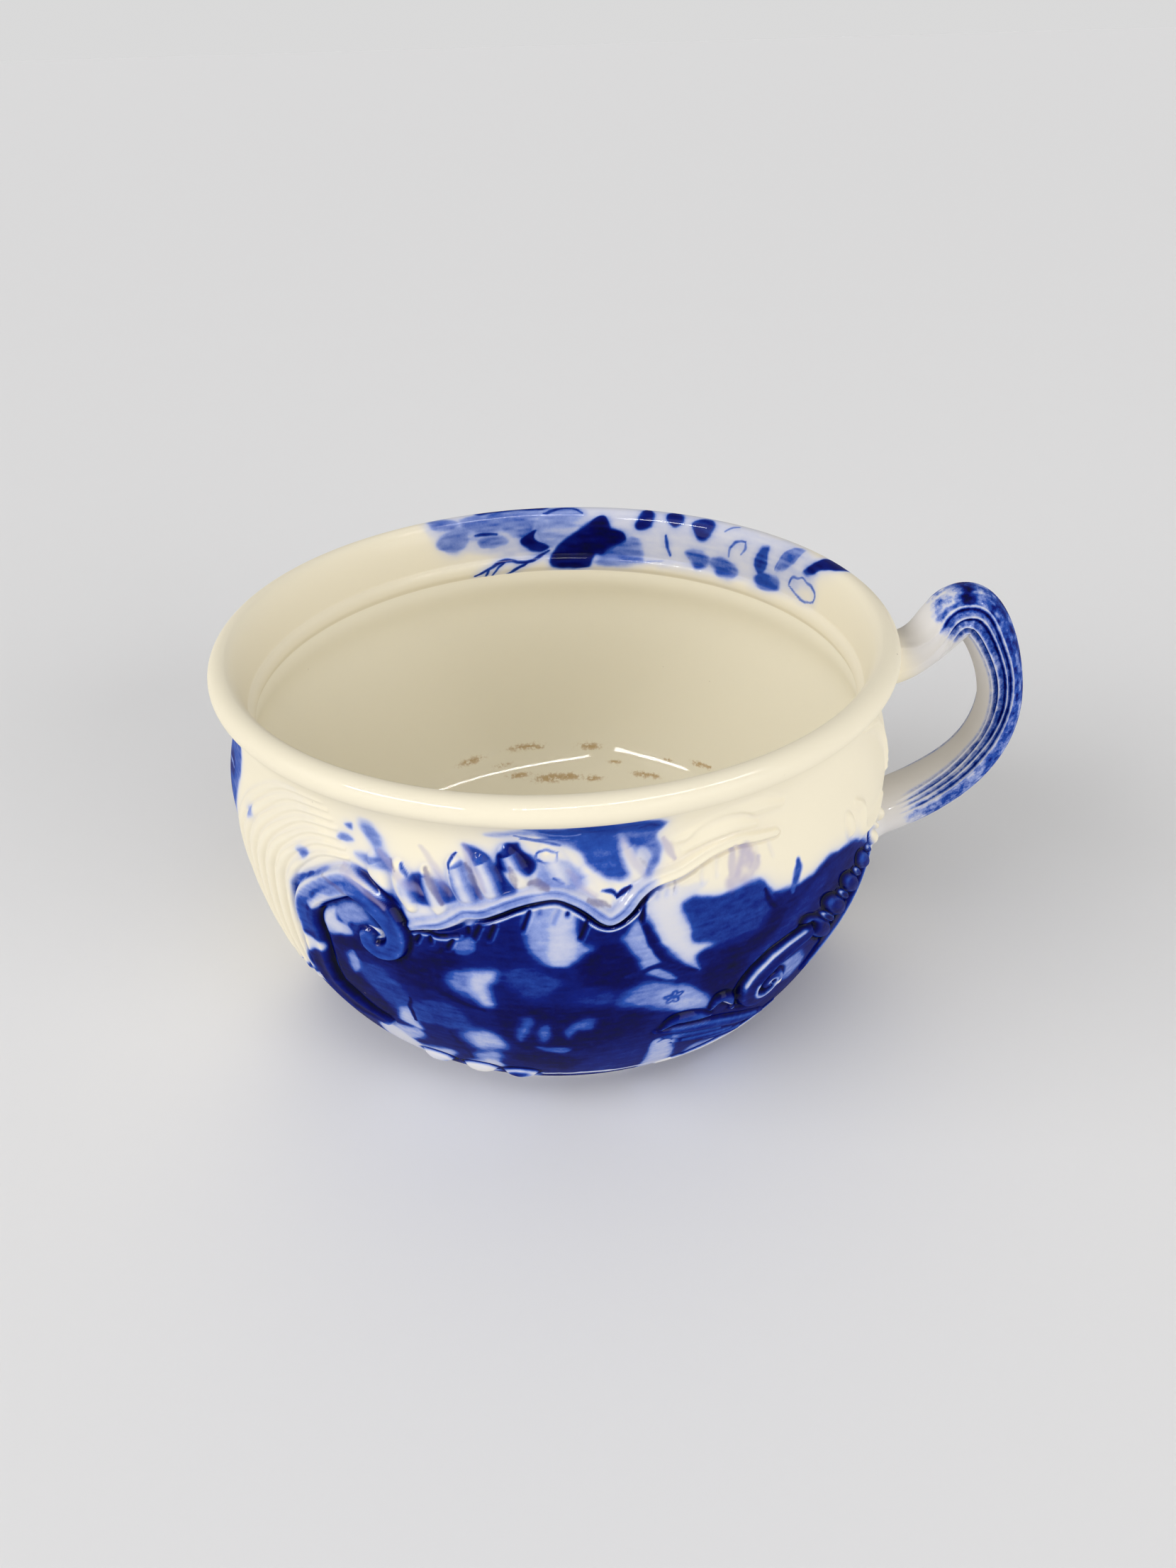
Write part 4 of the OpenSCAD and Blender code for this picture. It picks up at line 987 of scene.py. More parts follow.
class Printing:
    """Ink laid over a stretch of surface, wash by wash."""

    def __init__(self, u, v, seed, to_surface):
        self.to_surface = to_surface
        self.u = u + 0.8 * cloud(u, v, 9, seed) + 0.4 * cloud(u, v, 3.1, seed + 1)
        self.v = v + 0.8 * cloud(u, v, 8, seed + 2) + 0.4 * cloud(u, v, 2.7, seed + 3)
        self.soften = 1.15 + 0.75 * cloud(u, v, 6, seed + 4)
        self.ink = np.zeros(u.shape)

    def lay(self, washes):
        for tone, soft, outline in washes:
            self.wash(tone, soft, outline)

    def draw(self, strokes, broaden=1):
        for tone, half_width, line in strokes:
            self.stroke(tone, broaden * half_width, line)

    def wash(self, tone, soft, outline):
        """Fills an outline, with an edge that is sharper in some places than in others."""
        line = curve_through(self.to_surface(outline), 5, True)
        near = around_line(self.u, self.v, line, 3 * soft + 1)
        if near.any():
            edge = soft * self.soften[near]
            deep = within(self.u[near], self.v[near], line)
            self.ink[near] += (tone - self.ink[near]) * ease(deep, -edge, edge)

    def stroke(self, tone, half_width, line):
        """Draws a brush stroke with thin ends."""
        line = curve_through(self.to_surface(line))
        near = around_line(self.u, self.v, line, 3 * half_width + 1)
        if near.any():
            away, share = along_line(self.u[near], self.v[near], line)
            size = half_width * (0.45 + 0.55 * np.sin(np.pi * np.clip(share, 0.06, 0.94)))
            cover = 1 - ease(np.abs(away), 0.4 * size, 1.35 * size + 0.2)
            self.ink[near] += (tone - self.ink[near]) * cover

    def flow(self, row_step, column_step):
        """Lets the ink run in the glaze, which blurs its edges and tints the glaze beside them."""
        near = blurred(self.ink, 1.3, row_step, column_step)
        far = blurred(self.ink, 4, row_step, column_step)
        ink = 0.62 * self.ink + 0.38 * near
        self.ink = ink + 0.16 * far * (1 - ink)


# Meshes

OUTSIDE_ROWS = 350
HALF_COLUMNS = 801
RING_COLUMNS = 2 * (HALF_COLUMNS - 1)
# Stretches of the outside, as columns round from the side opposite the handle: first, last, step
OUTSIDE_STRETCHES = (
    ("outside_front_left", 142, 409, 1),
    ("outside_front_right", 409, 676, 1),
    ("outside_rear_right", 676, 1200, 2),
    ("outside_rear_left", 1200, 1742, 2),
)


def unit(vectors):
    return vectors / np.linalg.norm(vectors, axis=-1, keepdims=True)


def grid_piece(name, points, normals, fields, closed, capped=False):
    """A smooth mesh over a grid of points in millimetres, with a normal and a value of each field for each.

    Columns run to the right as seen from outside, rows run up. A capped grid has its first or last ring
    filled, whichever is smaller.
    """
    rows, columns, _ = points.shape
    index = np.arange(rows * columns).reshape(rows, columns)
    right = np.roll(index, -1, axis=1) if closed else index[:, 1:]
    left = index if closed else index[:, :-1]
    faces = np.stack([left[:-1], right[:-1], right[1:], left[1:]], axis=-1).reshape(-1, 4).tolist()
    if capped:
        shrinks = np.ptp(points[-1, :, 0]) < np.ptp(points[0, :, 0])
        faces.append((index[-1] if shrinks else index[0, ::-1]).tolist())
    mesh = bpy.data.meshes.new(name)
    mesh.from_pydata((points.reshape(-1, 3) * 0.001).tolist(), [], faces)
    for field, values in fields.items():
        layer = mesh.attributes.new(field, "FLOAT", "POINT")
        layer.data.foreach_set("value", values.astype(np.float32).ravel())
    mesh.shade_smooth()
    mesh.normals_split_custom_set_from_vertices(normals.reshape(-1, 3).tolist())
    piece = bpy.data.objects.new(name, mesh)
    bpy.context.scene.collection.objects.link(piece)
    return piece


def finish_piece(piece, material, replaced=()):
    """Gives a piece its glaze and its body, and hides the solids that it stands for."""
    piece.data.materials.append(material)
    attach(piece, "root")
    if replaced:
        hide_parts(*replaced)


def revolved(profile, around):
    """Points and normals of a profile turned about the axis, at some degrees round from the handle."""
    run = unit(np.gradient(profile, axis=0))
    a = np.radians(around)

    def turned(part):
        out, up = part[:, :1], part[:, 1:]
        return np.stack([out * np.cos(a), out * np.sin(a), np.broadcast_to(up, (len(part), len(a)))], axis=-1)

    return turned(profile), turned(np.stack([run[:, 1], -run[:, 0]], axis=1))


def wall_print(bowl, u, v, zz, relief, hollow, steps):
    """Ink, violet and lilac over the wall, from the print and from what gathers in the relief, with painted
    highlights along ridges and painted shade in the hollows of the bare glaze high up.
    """
    blue, violet, lilac = (Printing(u, v, seed, bowl.laid) for seed in (11, 23, 27))
    blue.lay(BELLY_WASHES + NECK_WASHES + SIDE_WASHES)
    blue.flow(*steps)
    blue.draw(BELLY_STROKES + NECK_STROKES + SIDE_STROKES)
    tone, width, place, radius = LINE_FLOWER
    blue.stroke(tone, width, open_flower(place, radius))
    ink = blue.ink

    # In and near the print, ink runs in streaks and gathers in hollows; ridges are left paler, thin print
    # with a painted highlight
    zone = ease(blurred(ink, 6, *steps), 0.06, 0.4)
    streaks = cloud(0.22 * u, v, 0.9, 31) + 0.6 * cloud(0.3 * u, v, 2.3, 32) + 0.5 * cloud(u, v, 1.3, 33)
    ink = ink + 0.045 * streaks * ease(ink, 0.05, 0.4)
    ink = ink + zone * (0.22 * np.clip(hollow, 0, 1) - 0.26 * np.clip(-hollow - 0.1, 0, 1))

    # The ornament's lines take their own ink, fully in the print and weakly away from it; its pale lines are
    # thin print and painted highlights
    tint = np.clip(relief.inks["tint"], 0, 1) * (0.3 + 0.7 * zone)
    ink = ink + (0.34 + 0.07 * streaks - ink) * tint
    broken = 0.9 + 0.1 * cloud(u, v, 2.1, 34)
    pale = np.clip(relief.inks["pale"] * (0.25 + 0.75 * zone) * broken, 0, 1)
    ink = ink + (0.07 - ink) * pale
    broken = 0.88 + 0.12 * cloud(u, v, 3.3, 35)
    dark = np.clip(relief.inks["dark"] * (0.12 + 0.88 * zone) * broken, 0, 1)
    ink = ink + (1.12 - ink) * dark

    violet.draw(VIOLET_STROKES)
    lilac.draw(LILAC_STROKES)
    # Painted shade: a grey-lilac tint in the hollows of the bare glaze high on the wall, carried in the lilac
    # field
    painted_hollow_shade = 0.22 * np.clip(hollow, 0, 1) * ease(zz, 88, 100) * (1 - zone)
    return {
        "ink": np.clip(ink, 0, 1.12),
        "violet": np.clip(violet.ink, 0, 1),
        "lilac": np.clip(lilac.ink + painted_hollow_shade, 0, 1),
    }


def outside_half(bowl):
    """Points, normals and print of the half of the outside that faces the front."""
    s = np.linspace(0, bowl.table_s[-1], OUTSIDE_ROWS)
    z = np.interp(s, bowl.table_s, bowl.table_z)
    turn = np.linspace(-90, 90, HALF_COLUMNS)
    u, zz = np.meshgrid(turn * GIRTH, z)
    v = bowl.up_wall(zz)
    steps = (s[1], GIRTH * (turn[1] - turn[0]))
    relief = Relief(bowl, u, v)
    raise_ornament(relief)
    top = bowl.lip_foot[1]
    raised = relief.height * ease(zz, 1.5, 4) * (1 - ease(zz, top - 4.5, top - 0.5))
    raised = 0.5 * raised + 0.5 * blurred(raised, 0.4, *steps)
    hollow = blurred(raised, 1.8, *steps) - raised
    fields = wall_print(bowl, u, v, zz, relief, hollow, steps)

    slope = bowl.slope(zz)
    tilt = np.hypot(1, slope)
    radius = bowl.outside(zz) + raised / tilt
    a = np.radians(270 + np.broadcast_to(turn, u.shape))
    points = np.stack([radius * np.cos(a), radius * np.sin(a), zz - raised * slope / tilt], axis=-1)
    normals = np.cross(np.gradient(points, axis=1), np.gradient(points, axis=0))
    # Both end columns face along the plane of the handle, so that the mirrored half joins smoothly
    normals[:, (0, -1), 1] = 0
    return points, unit(normals), fields


# Materials


class Value:
    """A shader value that takes part in Python sums by adding Math nodes."""

    def __init__(self, nodes, socket):
        self.nodes, self.socket = nodes, socket

    def sum(self, operation, a, b):
        return self.nodes.node("ShaderNodeMath", {"operation": operation}, {0: a, 1: b})

    def __add__(self, other):
        return self.sum("ADD", self, other)

    def __radd__(self, other):
        return self.sum("ADD", other, self)

    def __sub__(self, other):
        return self.sum("SUBTRACT", self, other)

    def __rsub__(self, other):
        return self.sum("SUBTRACT", other, self)

    def __mul__(self, other):
        return self.sum("MULTIPLY", self, other)

    def __rmul__(self, other):
        return self.sum("MULTIPLY", other, self)


class Nodes:
    """A node tree, with one way to add any node to it."""

    def __init__(self, tree):
        self.tree = tree
        tree.nodes.clear()

    def node(self, kind, settings, inputs, output=0):
        node = self.tree.nodes.new(kind)
        for name, setting in settings.items():
            if name == "stops":
                self.set_stops(node.color_ramp, setting)
            else:
                setattr(node, name, setting)
        for name, value in inputs.items():
            if isinstance(value, Value):
                self.tree.links.new(value.socket, node.inputs[name])
            else:
                node.inputs[name].default_value = value
        return Value(self, node.outputs[output]) if len(node.outputs) else node

    def set_stops(self, ramp, stops):
        for _ in range(len(stops) - 2):
            ramp.elements.new(0.5)
        for element, (position, tone) in zip(ramp.elements, stops):
            element.position = position
            element.color = (*tone, 1)


class Finish(Nodes):
    """A material's nodes."""

    def __init__(self, name):
        self.material = bpy.data.materials.new(name)
        self.material.use_nodes = True
        super().__init__(self.material.node_tree)
        self.place = self.node("ShaderNodeTexCoord", {}, {}, "Object")

    def field(self, name):
        return self.node("ShaderNodeAttribute", {"attribute_name": name}, {}, "Fac")

    def noise(self, scale, detail=2.0, roughness=0.5):
        inputs = {"Vector": self.place, "Scale": scale, "Detail": detail, "Roughness": roughness}
        return self.node("ShaderNodeTexNoise", {}, inputs, "Fac")

    def mapped(self, value, low, high, at_low=0.0, at_high=1.0):
        """Soft step between two values of a field."""
        inputs = {0: value, 1: low, 2: high, 3: at_low, 4: at_high}
        return self.node("ShaderNodeMapRange", {"interpolation_type": "SMOOTHSTEP"}, inputs)

    def mix(self, share, a, b):
        a, b = (c if isinstance(c, Value) else (*c, 1) for c in (a, b))
        return self.node("ShaderNodeMix", {"data_type": "RGBA"}, {0: share, 6: a, 7: b}, 2)

    def grain(self, scale, detail, roughness, strength):
        """Noise about zero."""
        return (self.noise(scale, detail, roughness) - 0.5) * strength

    def mottled(self, ink, start, full, coarse, fine):
        """Ink made uneven by two grains where there is print."""
        mottle = self.grain(*coarse) + self.grain(*fine)
        return ink + mottle * self.mapped(ink, start, full)

    def inked(self, ink, colours, bare):
        """Colour of a share of ink in the glaze, from bare glaze to the deepest cuts."""
        stops = (
            (0.0, bare), (0.12, colours.milk), (0.29, colours.pale), (0.5, colours.mid),
            (0.71, colours.cobalt), (0.88, colours.navy), (1.0, colours.groove),
        )
        return self.node("ShaderNodeValToRGB", {"stops": stops}, {"Fac": ink * 0.9}, "Color")

    def specked(self, colour, speck, share, scale, size, patches):
        """Colour with specks scattered over it in patches. size says where a speck fades and ends."""
        cells = self.node("ShaderNodeTexVoronoi", {}, {"Vector": self.place, "Scale": scale}, "Distance")
        specks = self.mapped(cells, *size, 1.0, 0.0) * self.mapped(self.noise(patches, 1.0), 0.55, 0.7)
        return self.mix(specks * share, colour, speck)

    def ripple(self, scale, depth):
        """The slight waviness of a fired glaze."""
        inputs = {"Strength": 0.3, "Distance": depth, "Height": self.noise(scale, 3.0)}
        return self.node("ShaderNodeBump", {}, inputs)

    def surface(self, inputs):
        shader = self.node("ShaderNodeBsdfPrincipled", {}, inputs)
        self.node("ShaderNodeOutputMaterial", {}, {"Surface": shader})
        return self.material

    def glaze(self, colour, roughness, waves):
        """Clear glossy glaze over a coloured body."""
        return self.surface({
            "Base Color": colour, "Roughness": roughness, "Normal": waves, "Specular IOR Level": 0.0,
            "Coat Weight": 0.15, "Coat Roughness": 0.03,
        })


def printed_glaze(colours):
    """Cream glaze with the blurred print in it."""
    finish = Finish("printed glaze")
    ink, violet, lilac = (finish.field(name) for name in ("ink", "violet", "lilac"))
    mottled = finish.mottled(ink, 0.04, 0.35, coarse=(300, 3.0, 0.6, 0.14), fine=(1500, 2.0, 0.6, 0.1))
    blue = finish.inked(mottled, colours, colours.cream)
    # Thin lilac wash, and painted shade in hollows of the bare glaze, both from the lilac field
    lilac_wash_and_shade = finish.mix(lilac * finish.mapped(finish.noise(120), 0.2, 0.5) * 0.75, blue, colours.lilac)
    broken = finish.mapped(finish.noise(700, 3.0) * 0.6 + violet * 0.45, 0.25, 0.75)
    gathered = finish.mix(violet * 0.7 * broken, lilac_wash_and_shade, colours.violet)
    final = finish.specked(gathered, colours.speck, 0.45, scale=105, size=(0.02, 0.045), patches=38)
    return finish.glaze(final, 0.12 + 0.1 * finish.noise(90), finish.ripple(70, 0.0006))


def inside_glaze(name, colours, bare):
    """Cream glaze of the lip or the inside, with print on the lip and stains low down."""
    finish = Finish(name)
    ink, stain = finish.field("ink"), finish.field("stain")
    mottled = finish.mottled(ink, 0.04, 0.35, coarse=(300, 3.0, 0.6, 0.14), fine=(1500, 2.0, 0.6, 0.08))
    blue = finish.inked(mottled, colours, bare)
    broken = finish.mapped(finish.noise(520, 5.0, 0.75) * 0.9 + stain * 0.2, 0.5, 0.66)
    stained = finish.mix(broken * stain * 0.8, blue, colours.stain)
    final = finish.specked(stained, colours.inside_speck, 0.5, scale=90, size=(0.018, 0.04), patches=30)
    return finish.glaze(final, 0.12 + 0.1 * finish.noise(80), finish.ripple(45, 0.0005))


def handle_glaze(colours):
    """Glaze of the handle: blue in the flutes, bare on the ridges."""
    finish = Finish("handle glaze")
    ink = finish.field("ink")
    mottled = finish.mottled(ink, 0.08, 0.3, coarse=(380, 4.0, 0.65, 0.7), fine=(1600, 2.0, 0.6, 0.3))
    blue = finish.inked(mottled, colours, colours.cream)
    return finish.glaze(blue, 0.12 + 0.1 * finish.noise(120), finish.ripple(110, 0.0005))


def underside_glaze(colours):
    """Thin glaze under the base and bare clay on the ring that it stands on."""
    finish = Finish("underside glaze")
    bare = finish.field("bare")
    worn = finish.mapped(finish.noise(160, 4.0, 0.6) * 0.5 + bare * 0.5, 0.35, 0.65)
    dirt = finish.mapped(finish.noise(60, 4.0, 0.6), 0.5, 0.75)
    clay = finish.mix(dirt * 0.5, colours.biscuit, colours.dirt)
    final = finish.mix(worn, colours.cream, clay)
    return finish.glaze(final, 0.2 + worn * 0.5, finish.ripple(300, 0.0004))


# Operators


class PieceOperator:
    """What every building operator shares."""

    bl_options = {"REGISTER", "UNDO"}

    def sizes(self, context):
        return millimetres(context.scene.pot_sizes)


class POT_OT_outside(PieceOperator, bpy.types.Operator):
    """Builds the outside of the bowl with its raised ornament and print"""

    bl_idname = "pot.outside"
    bl_label = "Outside"

    def execute(self, context):
        bowl = Bowl(self.sizes(context))
        glaze = printed_glaze(context.scene.pot_colours)
        points, normals, fields = outside_half(bowl)
        ring = np.concatenate([np.arange(HALF_COLUMNS), np.arange(HALF_COLUMNS - 2, 0, -1)])
        side = np.where(np.arange(RING_COLUMNS) < HALF_COLUMNS, 1, -1)
        replaced = OUTSIDE_SOLIDS
        for name, first, last, step in OUTSIDE_STRETCHES:
            around = np.arange(first, last + 1, step) % RING_COLUMNS
            columns = ring[around]
            mirror = np.stack([np.ones(len(around)), side[around], np.ones(len(around))], axis=1)
            picked = {field: values[:, columns] for field, values in fields.items()}
            turned = normals[:, columns] * mirror
            piece = grid_piece(name, points[:, columns] * mirror, turned, picked, False)
            finish_piece(piece, glaze, replaced)
            # The first stretch alone hides the solids
            replaced = ()
        return {"FINISHED"}


class POT_OT_inside(PieceOperator, bpy.types.Operator):
    """Builds the rolled lip with its print, and the inside with its stains"""

    bl_idname = "pot.inside"
    bl_label = "Lip and inside"

    def execute(self, context):
        bowl = Bowl(self.sizes(context))
        lip = bowl.lip_profile()
        profile = np.vstack([lip, bowl.inside_profile()[1:]])
        gone = passed(profile)
        gone -= gone[np.argmax(lip[:, 0])]
        colours = context.scene.pot_colours
        self.lip(profile, gone, len(lip), colours)
        self.hollow(profile, gone, len(lip), colours)
        return {"FINISHED"}

    def lip(self, profile, gone, rows, colours):
        """The lip with its print. The far side, which the front view looks into, has the finer grid."""
        around = np.concatenate([np.arange(10, 125, 0.25), np.arange(125, 370, 0.75)])
        points, normals = revolved(profile, around)
        u, v = np.meshgrid(around * LIP_GIRTH, gone[:rows])
        blue = Printing(u, v, 71, lambda places: np.array(places) * (LIP_GIRTH, 1))
        blue.lay(LIP_WASHES)
        blue.draw(LIP_STROKES, broaden=1.25)
        blue.flow(gone[rows // 2] - gone[rows // 2 - 1], LIP_GIRTH * (around[1] - around[0]))
        streaks = cloud(0.2 * u, v, 1.1, 72) + 0.6 * cloud(0.3 * u, v, 2.5, 73)
        ink = blue.ink + 0.09 * streaks * ease(blue.ink, 0.05, 0.4)
        fields = {"ink": np.clip(ink, 0, 1.05), "stain": np.zeros(ink.shape)}
        piece = grid_piece("rolled_lip", points[:rows], normals[:rows], fields, True)
        finish_piece(piece, inside_glaze("lip glaze", colours, colours.cream))

    def hollow(self, profile, gone, lip_rows, colours):
        """The inside below the lip, with its stains."""
        around = np.arange(0, 360, 1.0)
        points, normals = revolved(profile, around)
        low = slice(lip_rows - 1, None)
        turn, down = np.meshgrid(around, gone[low])
        stain = np.zeros(turn.shape)
        for around_at, down_at, long, wide in STAINS:
            across = np.radians(turn - around_at) * profile[low, :1]
            stain = np.maximum(stain, 1 - ease(np.hypot(across / long, (down - down_at) / wide), 0.2, 1.25))
        fields = {"ink": np.zeros(stain.shape), "stain": stain}
        piece = grid_piece("inside_of_bowl", points[low], normals[low], fields, True, True)
        # The inside takes the lighter cream, painted light, in place of the lip's cream
        glaze = inside_glaze("inside glaze", colours, colours.inside)
        finish_piece(piece, glaze, ("seam_roll",))


class POT_OT_underside(PieceOperator, bpy.types.Operator):
    """Builds the ring that the pot stands on and the hollow under its base"""

    bl_idname = "pot.underside"
    bl_label = "Underside"

    def execute(self, context):
        mm = self.sizes(context)
        foot, hollow = mm["foot_radius"], mm["base_hollow"]
        ring = foot - mm["foot_ring"]
        profile = np.array([
            (0.5, hollow), (20, hollow), (45, hollow), (ring - 3, hollow), (ring - 1.2, hollow - 0.2),
            (ring - 0.4, hollow - 0.8), (ring, hollow / 2), (ring + 0.3, 0.4), (ring + 1, 0.08),
            (ring + 2, 0), (foot - 2, 0), (foot, 0),
        ])
        points, normals = revolved(profile, np.arange(0, 360, 1.5))
        bare = np.broadcast_to(ease(profile[:, :1], ring - 1.5, ring + 0.5), points.shape[:2])
        piece = grid_piece("underside", points, normals, {"bare": bare}, True, True)
        finish_piece(piece, underside_glaze(context.scene.pot_colours), ("base",))
        return {"FINISHED"}


class POT_OT_handle(PieceOperator, bpy.types.Operator):
    """Builds the fluted loop handle with its spread ends"""

    bl_idname = "pot.handle"
    bl_label = "Handle"

    def execute(self, context):
        mm = self.sizes(context)
        bowl = Bowl(mm)
        line, s = self.centre_line(mm, bowl)
        run = unit(np.gradient(line, axis=0))
        out = np.stack([-run[:, 1], run[:, 0]], axis=1)
        s, gone = s[:, None], passed(line)[:, None]
        half_thick, half_wide = self.half_sizes(mm, s)
        spread = 1 + 0.17 * (1 - ease(gone, 1.5, 7)) + 0.17 * (1 - ease(gone[-1] - gone, 1.8, 11))
        deepen = 1 + 0.34 * (1 - ease(gone, 2, 20))

        a = -np.linspace(0, 2 * np.pi, HANDLE_COLUMNS, endpoint=False)
        turn = np.degrees(np.minimum(-a, 2 * np.pi + a))[None]
        lap = np.where(-a < np.pi, turn, -turn)
        ridges = [self.ridge(s, turns) for turns in RIDGE_TURNS]
        place = sum(np.clip((turn - low) / (high - low), 0, 1) for low, high in zip(ridges, ridges[1:]))
        groove = self.grooves(mm, s, gone, turn, ridges, place)
        x = spread * deepen * (half_thick - groove) * np.cos(a)
        y = spread * (half_wide - groove) * np.sin(a)
        points = np.stack([line[:, :1] + x * out[:, :1], y, line[:, 1:] + x * out[:, 1:]], axis=-1)
        self.hold_in_wall(points, bowl)
        wrapped = np.concatenate([points[:, -1:], points, points[:, :1]], axis=1)
        normals = unit(np.cross(wrapped[:, 2:] - wrapped[:, :-2], np.gradient(points, axis=0)))

        fields = {"ink": self.ink(s, turn, lap, ridges, place)}
        piece = grid_piece("handle_loop", points, normals, fields, True)
        glaze = handle_glaze(context.scene.pot_colours)
        finish_piece(piece, glaze, ("handle", "upper_slip", "lower_slip"))
        return {"FINISHED"}

    def centre_line(self, mm, bowl):
        """Centre line in the plane of the handle, and the share of its three bends passed at each place."""
        thick = mm["handle_thickness"]
        upper_z, lower_z = (mm["height"] - mm[drop] for drop in ("upper_root_drop", "lower_root_drop"))
        upper, lower = (np.array([bowl.outside(z), z]) for z in (upper_z, lower_z))
        grip = np.array([mm["handle_reach"] - thick / 2, (upper_z + lower_z) / 2 + 14])
        crest_out = upper[0] + 0.64 * (grip[0] - upper[0])
        crest = np.array([crest_out, mm["handle_top"] - (thick + mm["crest_swell"]) / 2])
        start, end = upper + [3, 0], lower + [7, 1.8]
        bends = (
            start[None],
            bend(start, upper + [19.5, 0], crest - [8.5, 0], crest, BEND_STEPS),
            bend(crest, crest + [7, 0], grip + [0, 13.5], grip, BEND_STEPS),
            bend(grip, grip - [0, 23], lower + [27.5, 9.5], end, BEND_STEPS),
        )
        into_wall = np.linspace(0, 1, ROOT_RINGS + 1)[:, None]
        first = start + (into_wall[:-1] - 1) * [UPPER_ROOT, 0]
        last = end + LOWER_ROOT * into_wall[1:] * unit(end - bends[-1][-2])
        shares = np.linspace(0, 1, 3 * (BEND_STEPS - 1) + 1)
        return np.vstack([first, *bends, last]), np.pad(shares, ROOT_RINGS, mode="edge")

    def half_sizes(self, mm, s):
        """Half of the thickness and of the width along the handle. Its crest and its grip are at thirds."""
        crown = ease(s, 0, 1 / 3) * (1 - ease(s, 1 / 3, 2 / 3))
        swell = mm["lower_swell"] * ease(s, 2 / 3, 1)
        thick = mm["handle_thickness"] + mm["crest_swell"] * crown + swell
        wide = mm["handle_width"] - mm["upper_taper"] * (1 - ease(s, 0, 1 / 3)) + swell
        return thick / 2, wide / 2

    def ridge(self, s, turns):
        """Turn of one ridge at each place along the handle."""
        track = curve_through(list(zip(RIDGE_SHARES, turns)), 8)
        return np.interp(s, track[:, 0], track[:, 1])

    def grooves(self, mm, s, gone, turn, ridges, place):
        """Depth of the hollows between the ridges, negative where a ridge stands out."""
        lower_end = 1 - ease(s, 0.86, 0.97)
        across = place - np.floor(place)
        run_out = np.maximum(ease(s, 0.12, 0.26), 0.6 * (place < 1)) * lower_end
        depth = mm["rib_depth"] * run_out * (1 - (2 * across - 1) ** 2)
        for ridge in ridges:
            depth = depth - 0.35 * ease(s, 0.1, 0.26) * lower_end * bump(turn, ridge, 4)
        shoulder = ease(gone, 4, 9) * (1 - ease(s, 0.2, 0.34)) * bump(turn, ridges[0], 11)
        return depth - 0.8 * shoulder

    def hold_in_wall(self, points, bowl):
        """Draws back the ends where they would break through to the inside of the bowl."""
        inside = bowl.inside_profile()[::-1]
        least = np.interp(points[..., 2], inside[:, 1], inside[:, 0]) + ROOT_COVER
        points[..., :2] *= np.maximum(1, least / np.hypot(points[..., 0], points[..., 1]))[..., None]

    def ink(self, s, turn, lap, ridges, place):
        """Ink over the handle: pooled on the crest, dark below each ridge, thin on ridges and underneath. The
        paler line on each ridge is also a painted highlight.
        """
        start = 0.21 + 0.0006 * np.clip(57 - turn, 0, None)
        reach = ease(s, start - 0.02, start + 0.035) * (1 - ease(s, 0.9, 0.98))
        under = 1 - ease(turn, ridges[-1] - 2, ridges[-1] + 16)
        below_ridge = bump(place - np.floor(place), 0.22, 0.17)
        along, around = 165 * s, 0.16 * lap
        fine = cloud(along, around, 2.6, 42) + 0.7 * cloud(along, around, 1.2, 43)
        streaks = 0.5 * cloud(28 * s, lap, 6, 41) + fine
        valley = 0.5 + 0.5 * below_ridge - 0.2 * ease(s, 0.6, 0.88) + 0.14 * streaks
        pooled = 0.6 * bump(s, 0.325, 0.016)
        crown = 0.3 + 0.3 * ease(s, 0.33, 0.38) - 0.16 * ease(s, 0.55, 0.85) + pooled + 0.2 * streaks
        ink = np.where(place > 0, np.where(place < 3, valley, 0.36), crown) * reach * under
        # Each ridge is paler: thin print and a painted highlight along it
        for ridge in ridges:
            ink = ink * (1 - 0.7 * bump(turn, ridge, 2.8))
        return np.clip(np.maximum(ink, 0.08 * ease(s, 0.02, 0.12)), 0, 1.05)


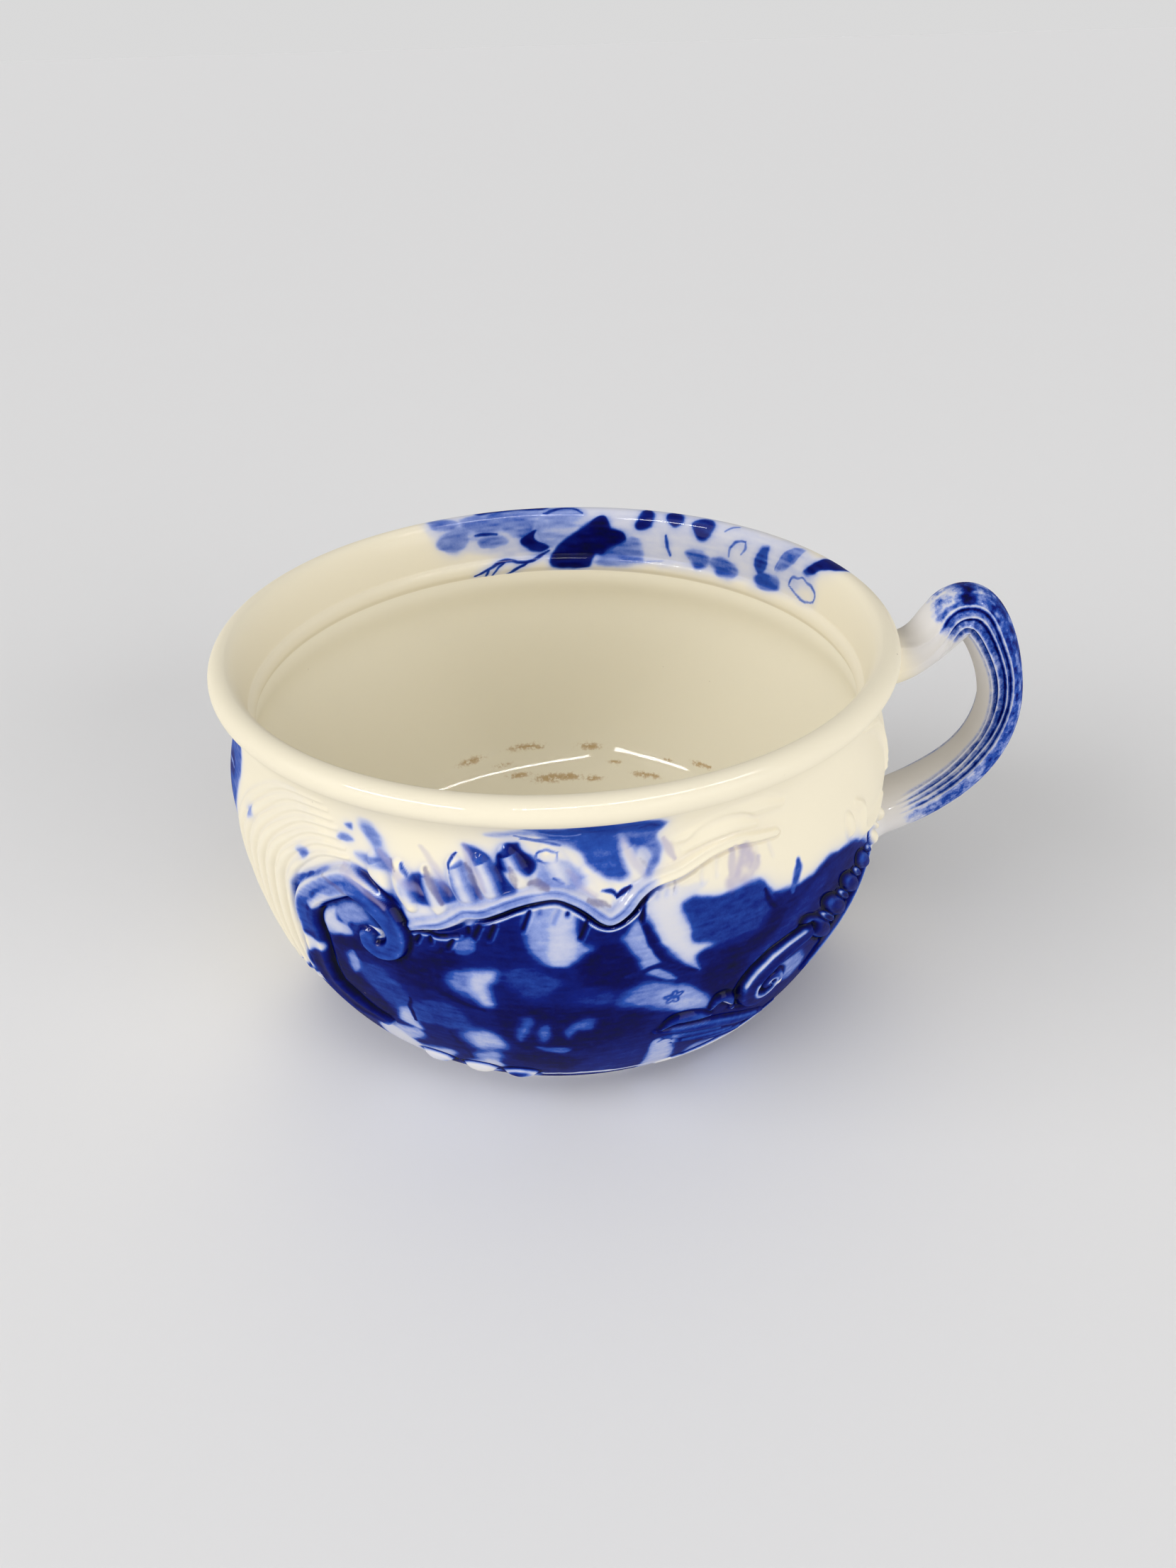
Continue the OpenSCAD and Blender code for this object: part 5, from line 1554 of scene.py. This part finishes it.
class POT_OT_stage(PieceOperator, bpy.types.Operator):
    """Sets up the pale floor, the soft light and the camera at the photograph's angle"""

    bl_idname = "pot.stage"
    bl_label = "Stage"

    def execute(self, context):
        scene, looks = context.scene, context.scene.pot_stage
        scene.view_settings.view_transform = "Standard"
        self.floor(scene, looks)
        self.sky(scene, looks)
        for name, towards in SUNS:
            lamp = bpy.data.lights.new(name, "SUN")
            lamp.energy, lamp.angle = getattr(looks, name), SUN_SPREAD
            self.hang(scene, lamp, unit(np.array(towards)) * 2, (0, 0, 0))
        for name, place, size in GLINT_LAMPS:
            lamp = bpy.data.lights.new(name, "AREA")
            lamp.shape = "RECTANGLE"
            lamp.size, lamp.size_y = size
            lamp.energy = looks.glints * size[0] * size[1]
            self.hang(scene, lamp, np.array(place), GLINT_AIM).visible_diffuse = False
        self.camera(scene)
        return {"FINISHED"}

    def floor(self, scene, looks):
        mesh = bpy.data.meshes.new("floor")
        corners = [(FLOOR_REACH * x, FLOOR_REACH * y, 0) for x, y in ((-1, -1), (1, -1), (1, 1), (-1, 1))]
        mesh.from_pydata(corners, [], [(0, 1, 2, 3)])
        floor = bpy.data.objects.new("floor", mesh)
        scene.collection.objects.link(floor)
        matt = Finish("pale floor").surface({"Base Color": (*looks.floor, 1), "Roughness": 0.8})
        mesh.materials.append(matt)

    def sky(self, scene, looks):
        """Even light all round, behind a pale backdrop that the camera and reflections see."""
        scene.world = bpy.data.worlds.new("soft sky")
        scene.world.use_nodes = True
        nodes = Nodes(scene.world.node_tree)
        rays = ("Is Camera Ray", "Is Glossy Ray", "Is Transmission Ray")
        camera, glossy, through = (nodes.node("ShaderNodeLightPath", {}, {}, ray) for ray in rays)
        light, backdrop = (
            nodes.node("ShaderNodeBackground", {}, {"Color": (*tint, 1), "Strength": strength})
            for tint, strength in ((looks.sky_tint, looks.sky), (looks.backdrop, 1.0))
        )
        seen = nodes.node("ShaderNodeMixShader", {}, {0: camera + glossy + through, 1: light, 2: backdrop})
        nodes.node("ShaderNodeOutputWorld", {}, {"Surface": seen})

    def hang(self, scene, lamp, place, aim):
        """Places a lamp and points it at its aim."""
        light = bpy.data.objects.new(lamp.name, lamp)
        back = unit(place - np.array(aim))
        right = unit(np.cross((0, 0, 1), back))
        light.matrix_world = pose_matrix(right, np.cross(back, right), back, place)
        scene.collection.objects.link(light)
        return light

    def camera(self, scene):
        camera = bpy.data.cameras.new("photo view")
        camera.sensor_width = SENSOR_WIDTH
        camera.lens = PHOTO_FOCUS / max(PHOTO_SIZE) * SENSOR_WIDTH
        camera.clip_start, camera.clip_end = 0.01, 100
        view = bpy.data.objects.new("photo_view", camera)
        level, over = np.array((1.0, 0, 0)), np.array((0, math.sin(CAMERA_RISE), math.cos(CAMERA_RISE)))
        right = level * math.cos(CAMERA_ROLL) + over * math.sin(CAMERA_ROLL)
        up = over * math.cos(CAMERA_ROLL) - level * math.sin(CAMERA_ROLL)
        back = np.array((0, -math.cos(CAMERA_RISE), math.sin(CAMERA_RISE)))
        view.matrix_world = pose_matrix(right, up, back, CAMERA_PLACE)
        scene.collection.objects.link(view)
        scene.camera = view


def pose_matrix(right, up, back, place):
    """Pose of a lamp or camera from its three axes and its place."""
    pose = np.eye(4)
    pose[:3] = np.stack([right, up, back, place], axis=1)
    return Matrix(pose.tolist())


class POT_PT_tools(bpy.types.Panel):
    """Lists the pot's pieces in the order they are built"""

    bl_label = "Chamber pot"
    bl_space_type = "VIEW_3D"
    bl_region_type = "UI"
    bl_category = "Pot"

    def draw(self, context):
        for operator in OPERATORS:
            self.layout.operator(operator.bl_idname)
        for group in (context.scene.pot_sizes, context.scene.pot_colours, context.scene.pot_stage):
            box = self.layout.box()
            for name in group.__annotations__:
                box.prop(group, name)


GROUPS = (PotSizes, PotColours, PotStage)
OPERATORS = (POT_OT_outside, POT_OT_inside, POT_OT_underside, POT_OT_handle, POT_OT_stage)


def register():
    for cls in GROUPS + OPERATORS + (POT_PT_tools,):
        bpy.utils.register_class(cls)
    bpy.types.Scene.pot_sizes = PointerProperty(type=PotSizes)
    bpy.types.Scene.pot_colours = PointerProperty(type=PotColours)
    bpy.types.Scene.pot_stage = PointerProperty(type=PotStage)


def unregister():
    del bpy.types.Scene.pot_stage
    del bpy.types.Scene.pot_colours
    del bpy.types.Scene.pot_sizes
    for cls in reversed(GROUPS + OPERATORS + (POT_PT_tools,)):
        bpy.utils.unregister_class(cls)


def main():
    register()
    bpy.ops.pot.outside()
    bpy.ops.pot.inside()
    bpy.ops.pot.underside()
    bpy.ops.pot.handle()
    bpy.ops.pot.stage()


if __name__ == "__main__":
    main()
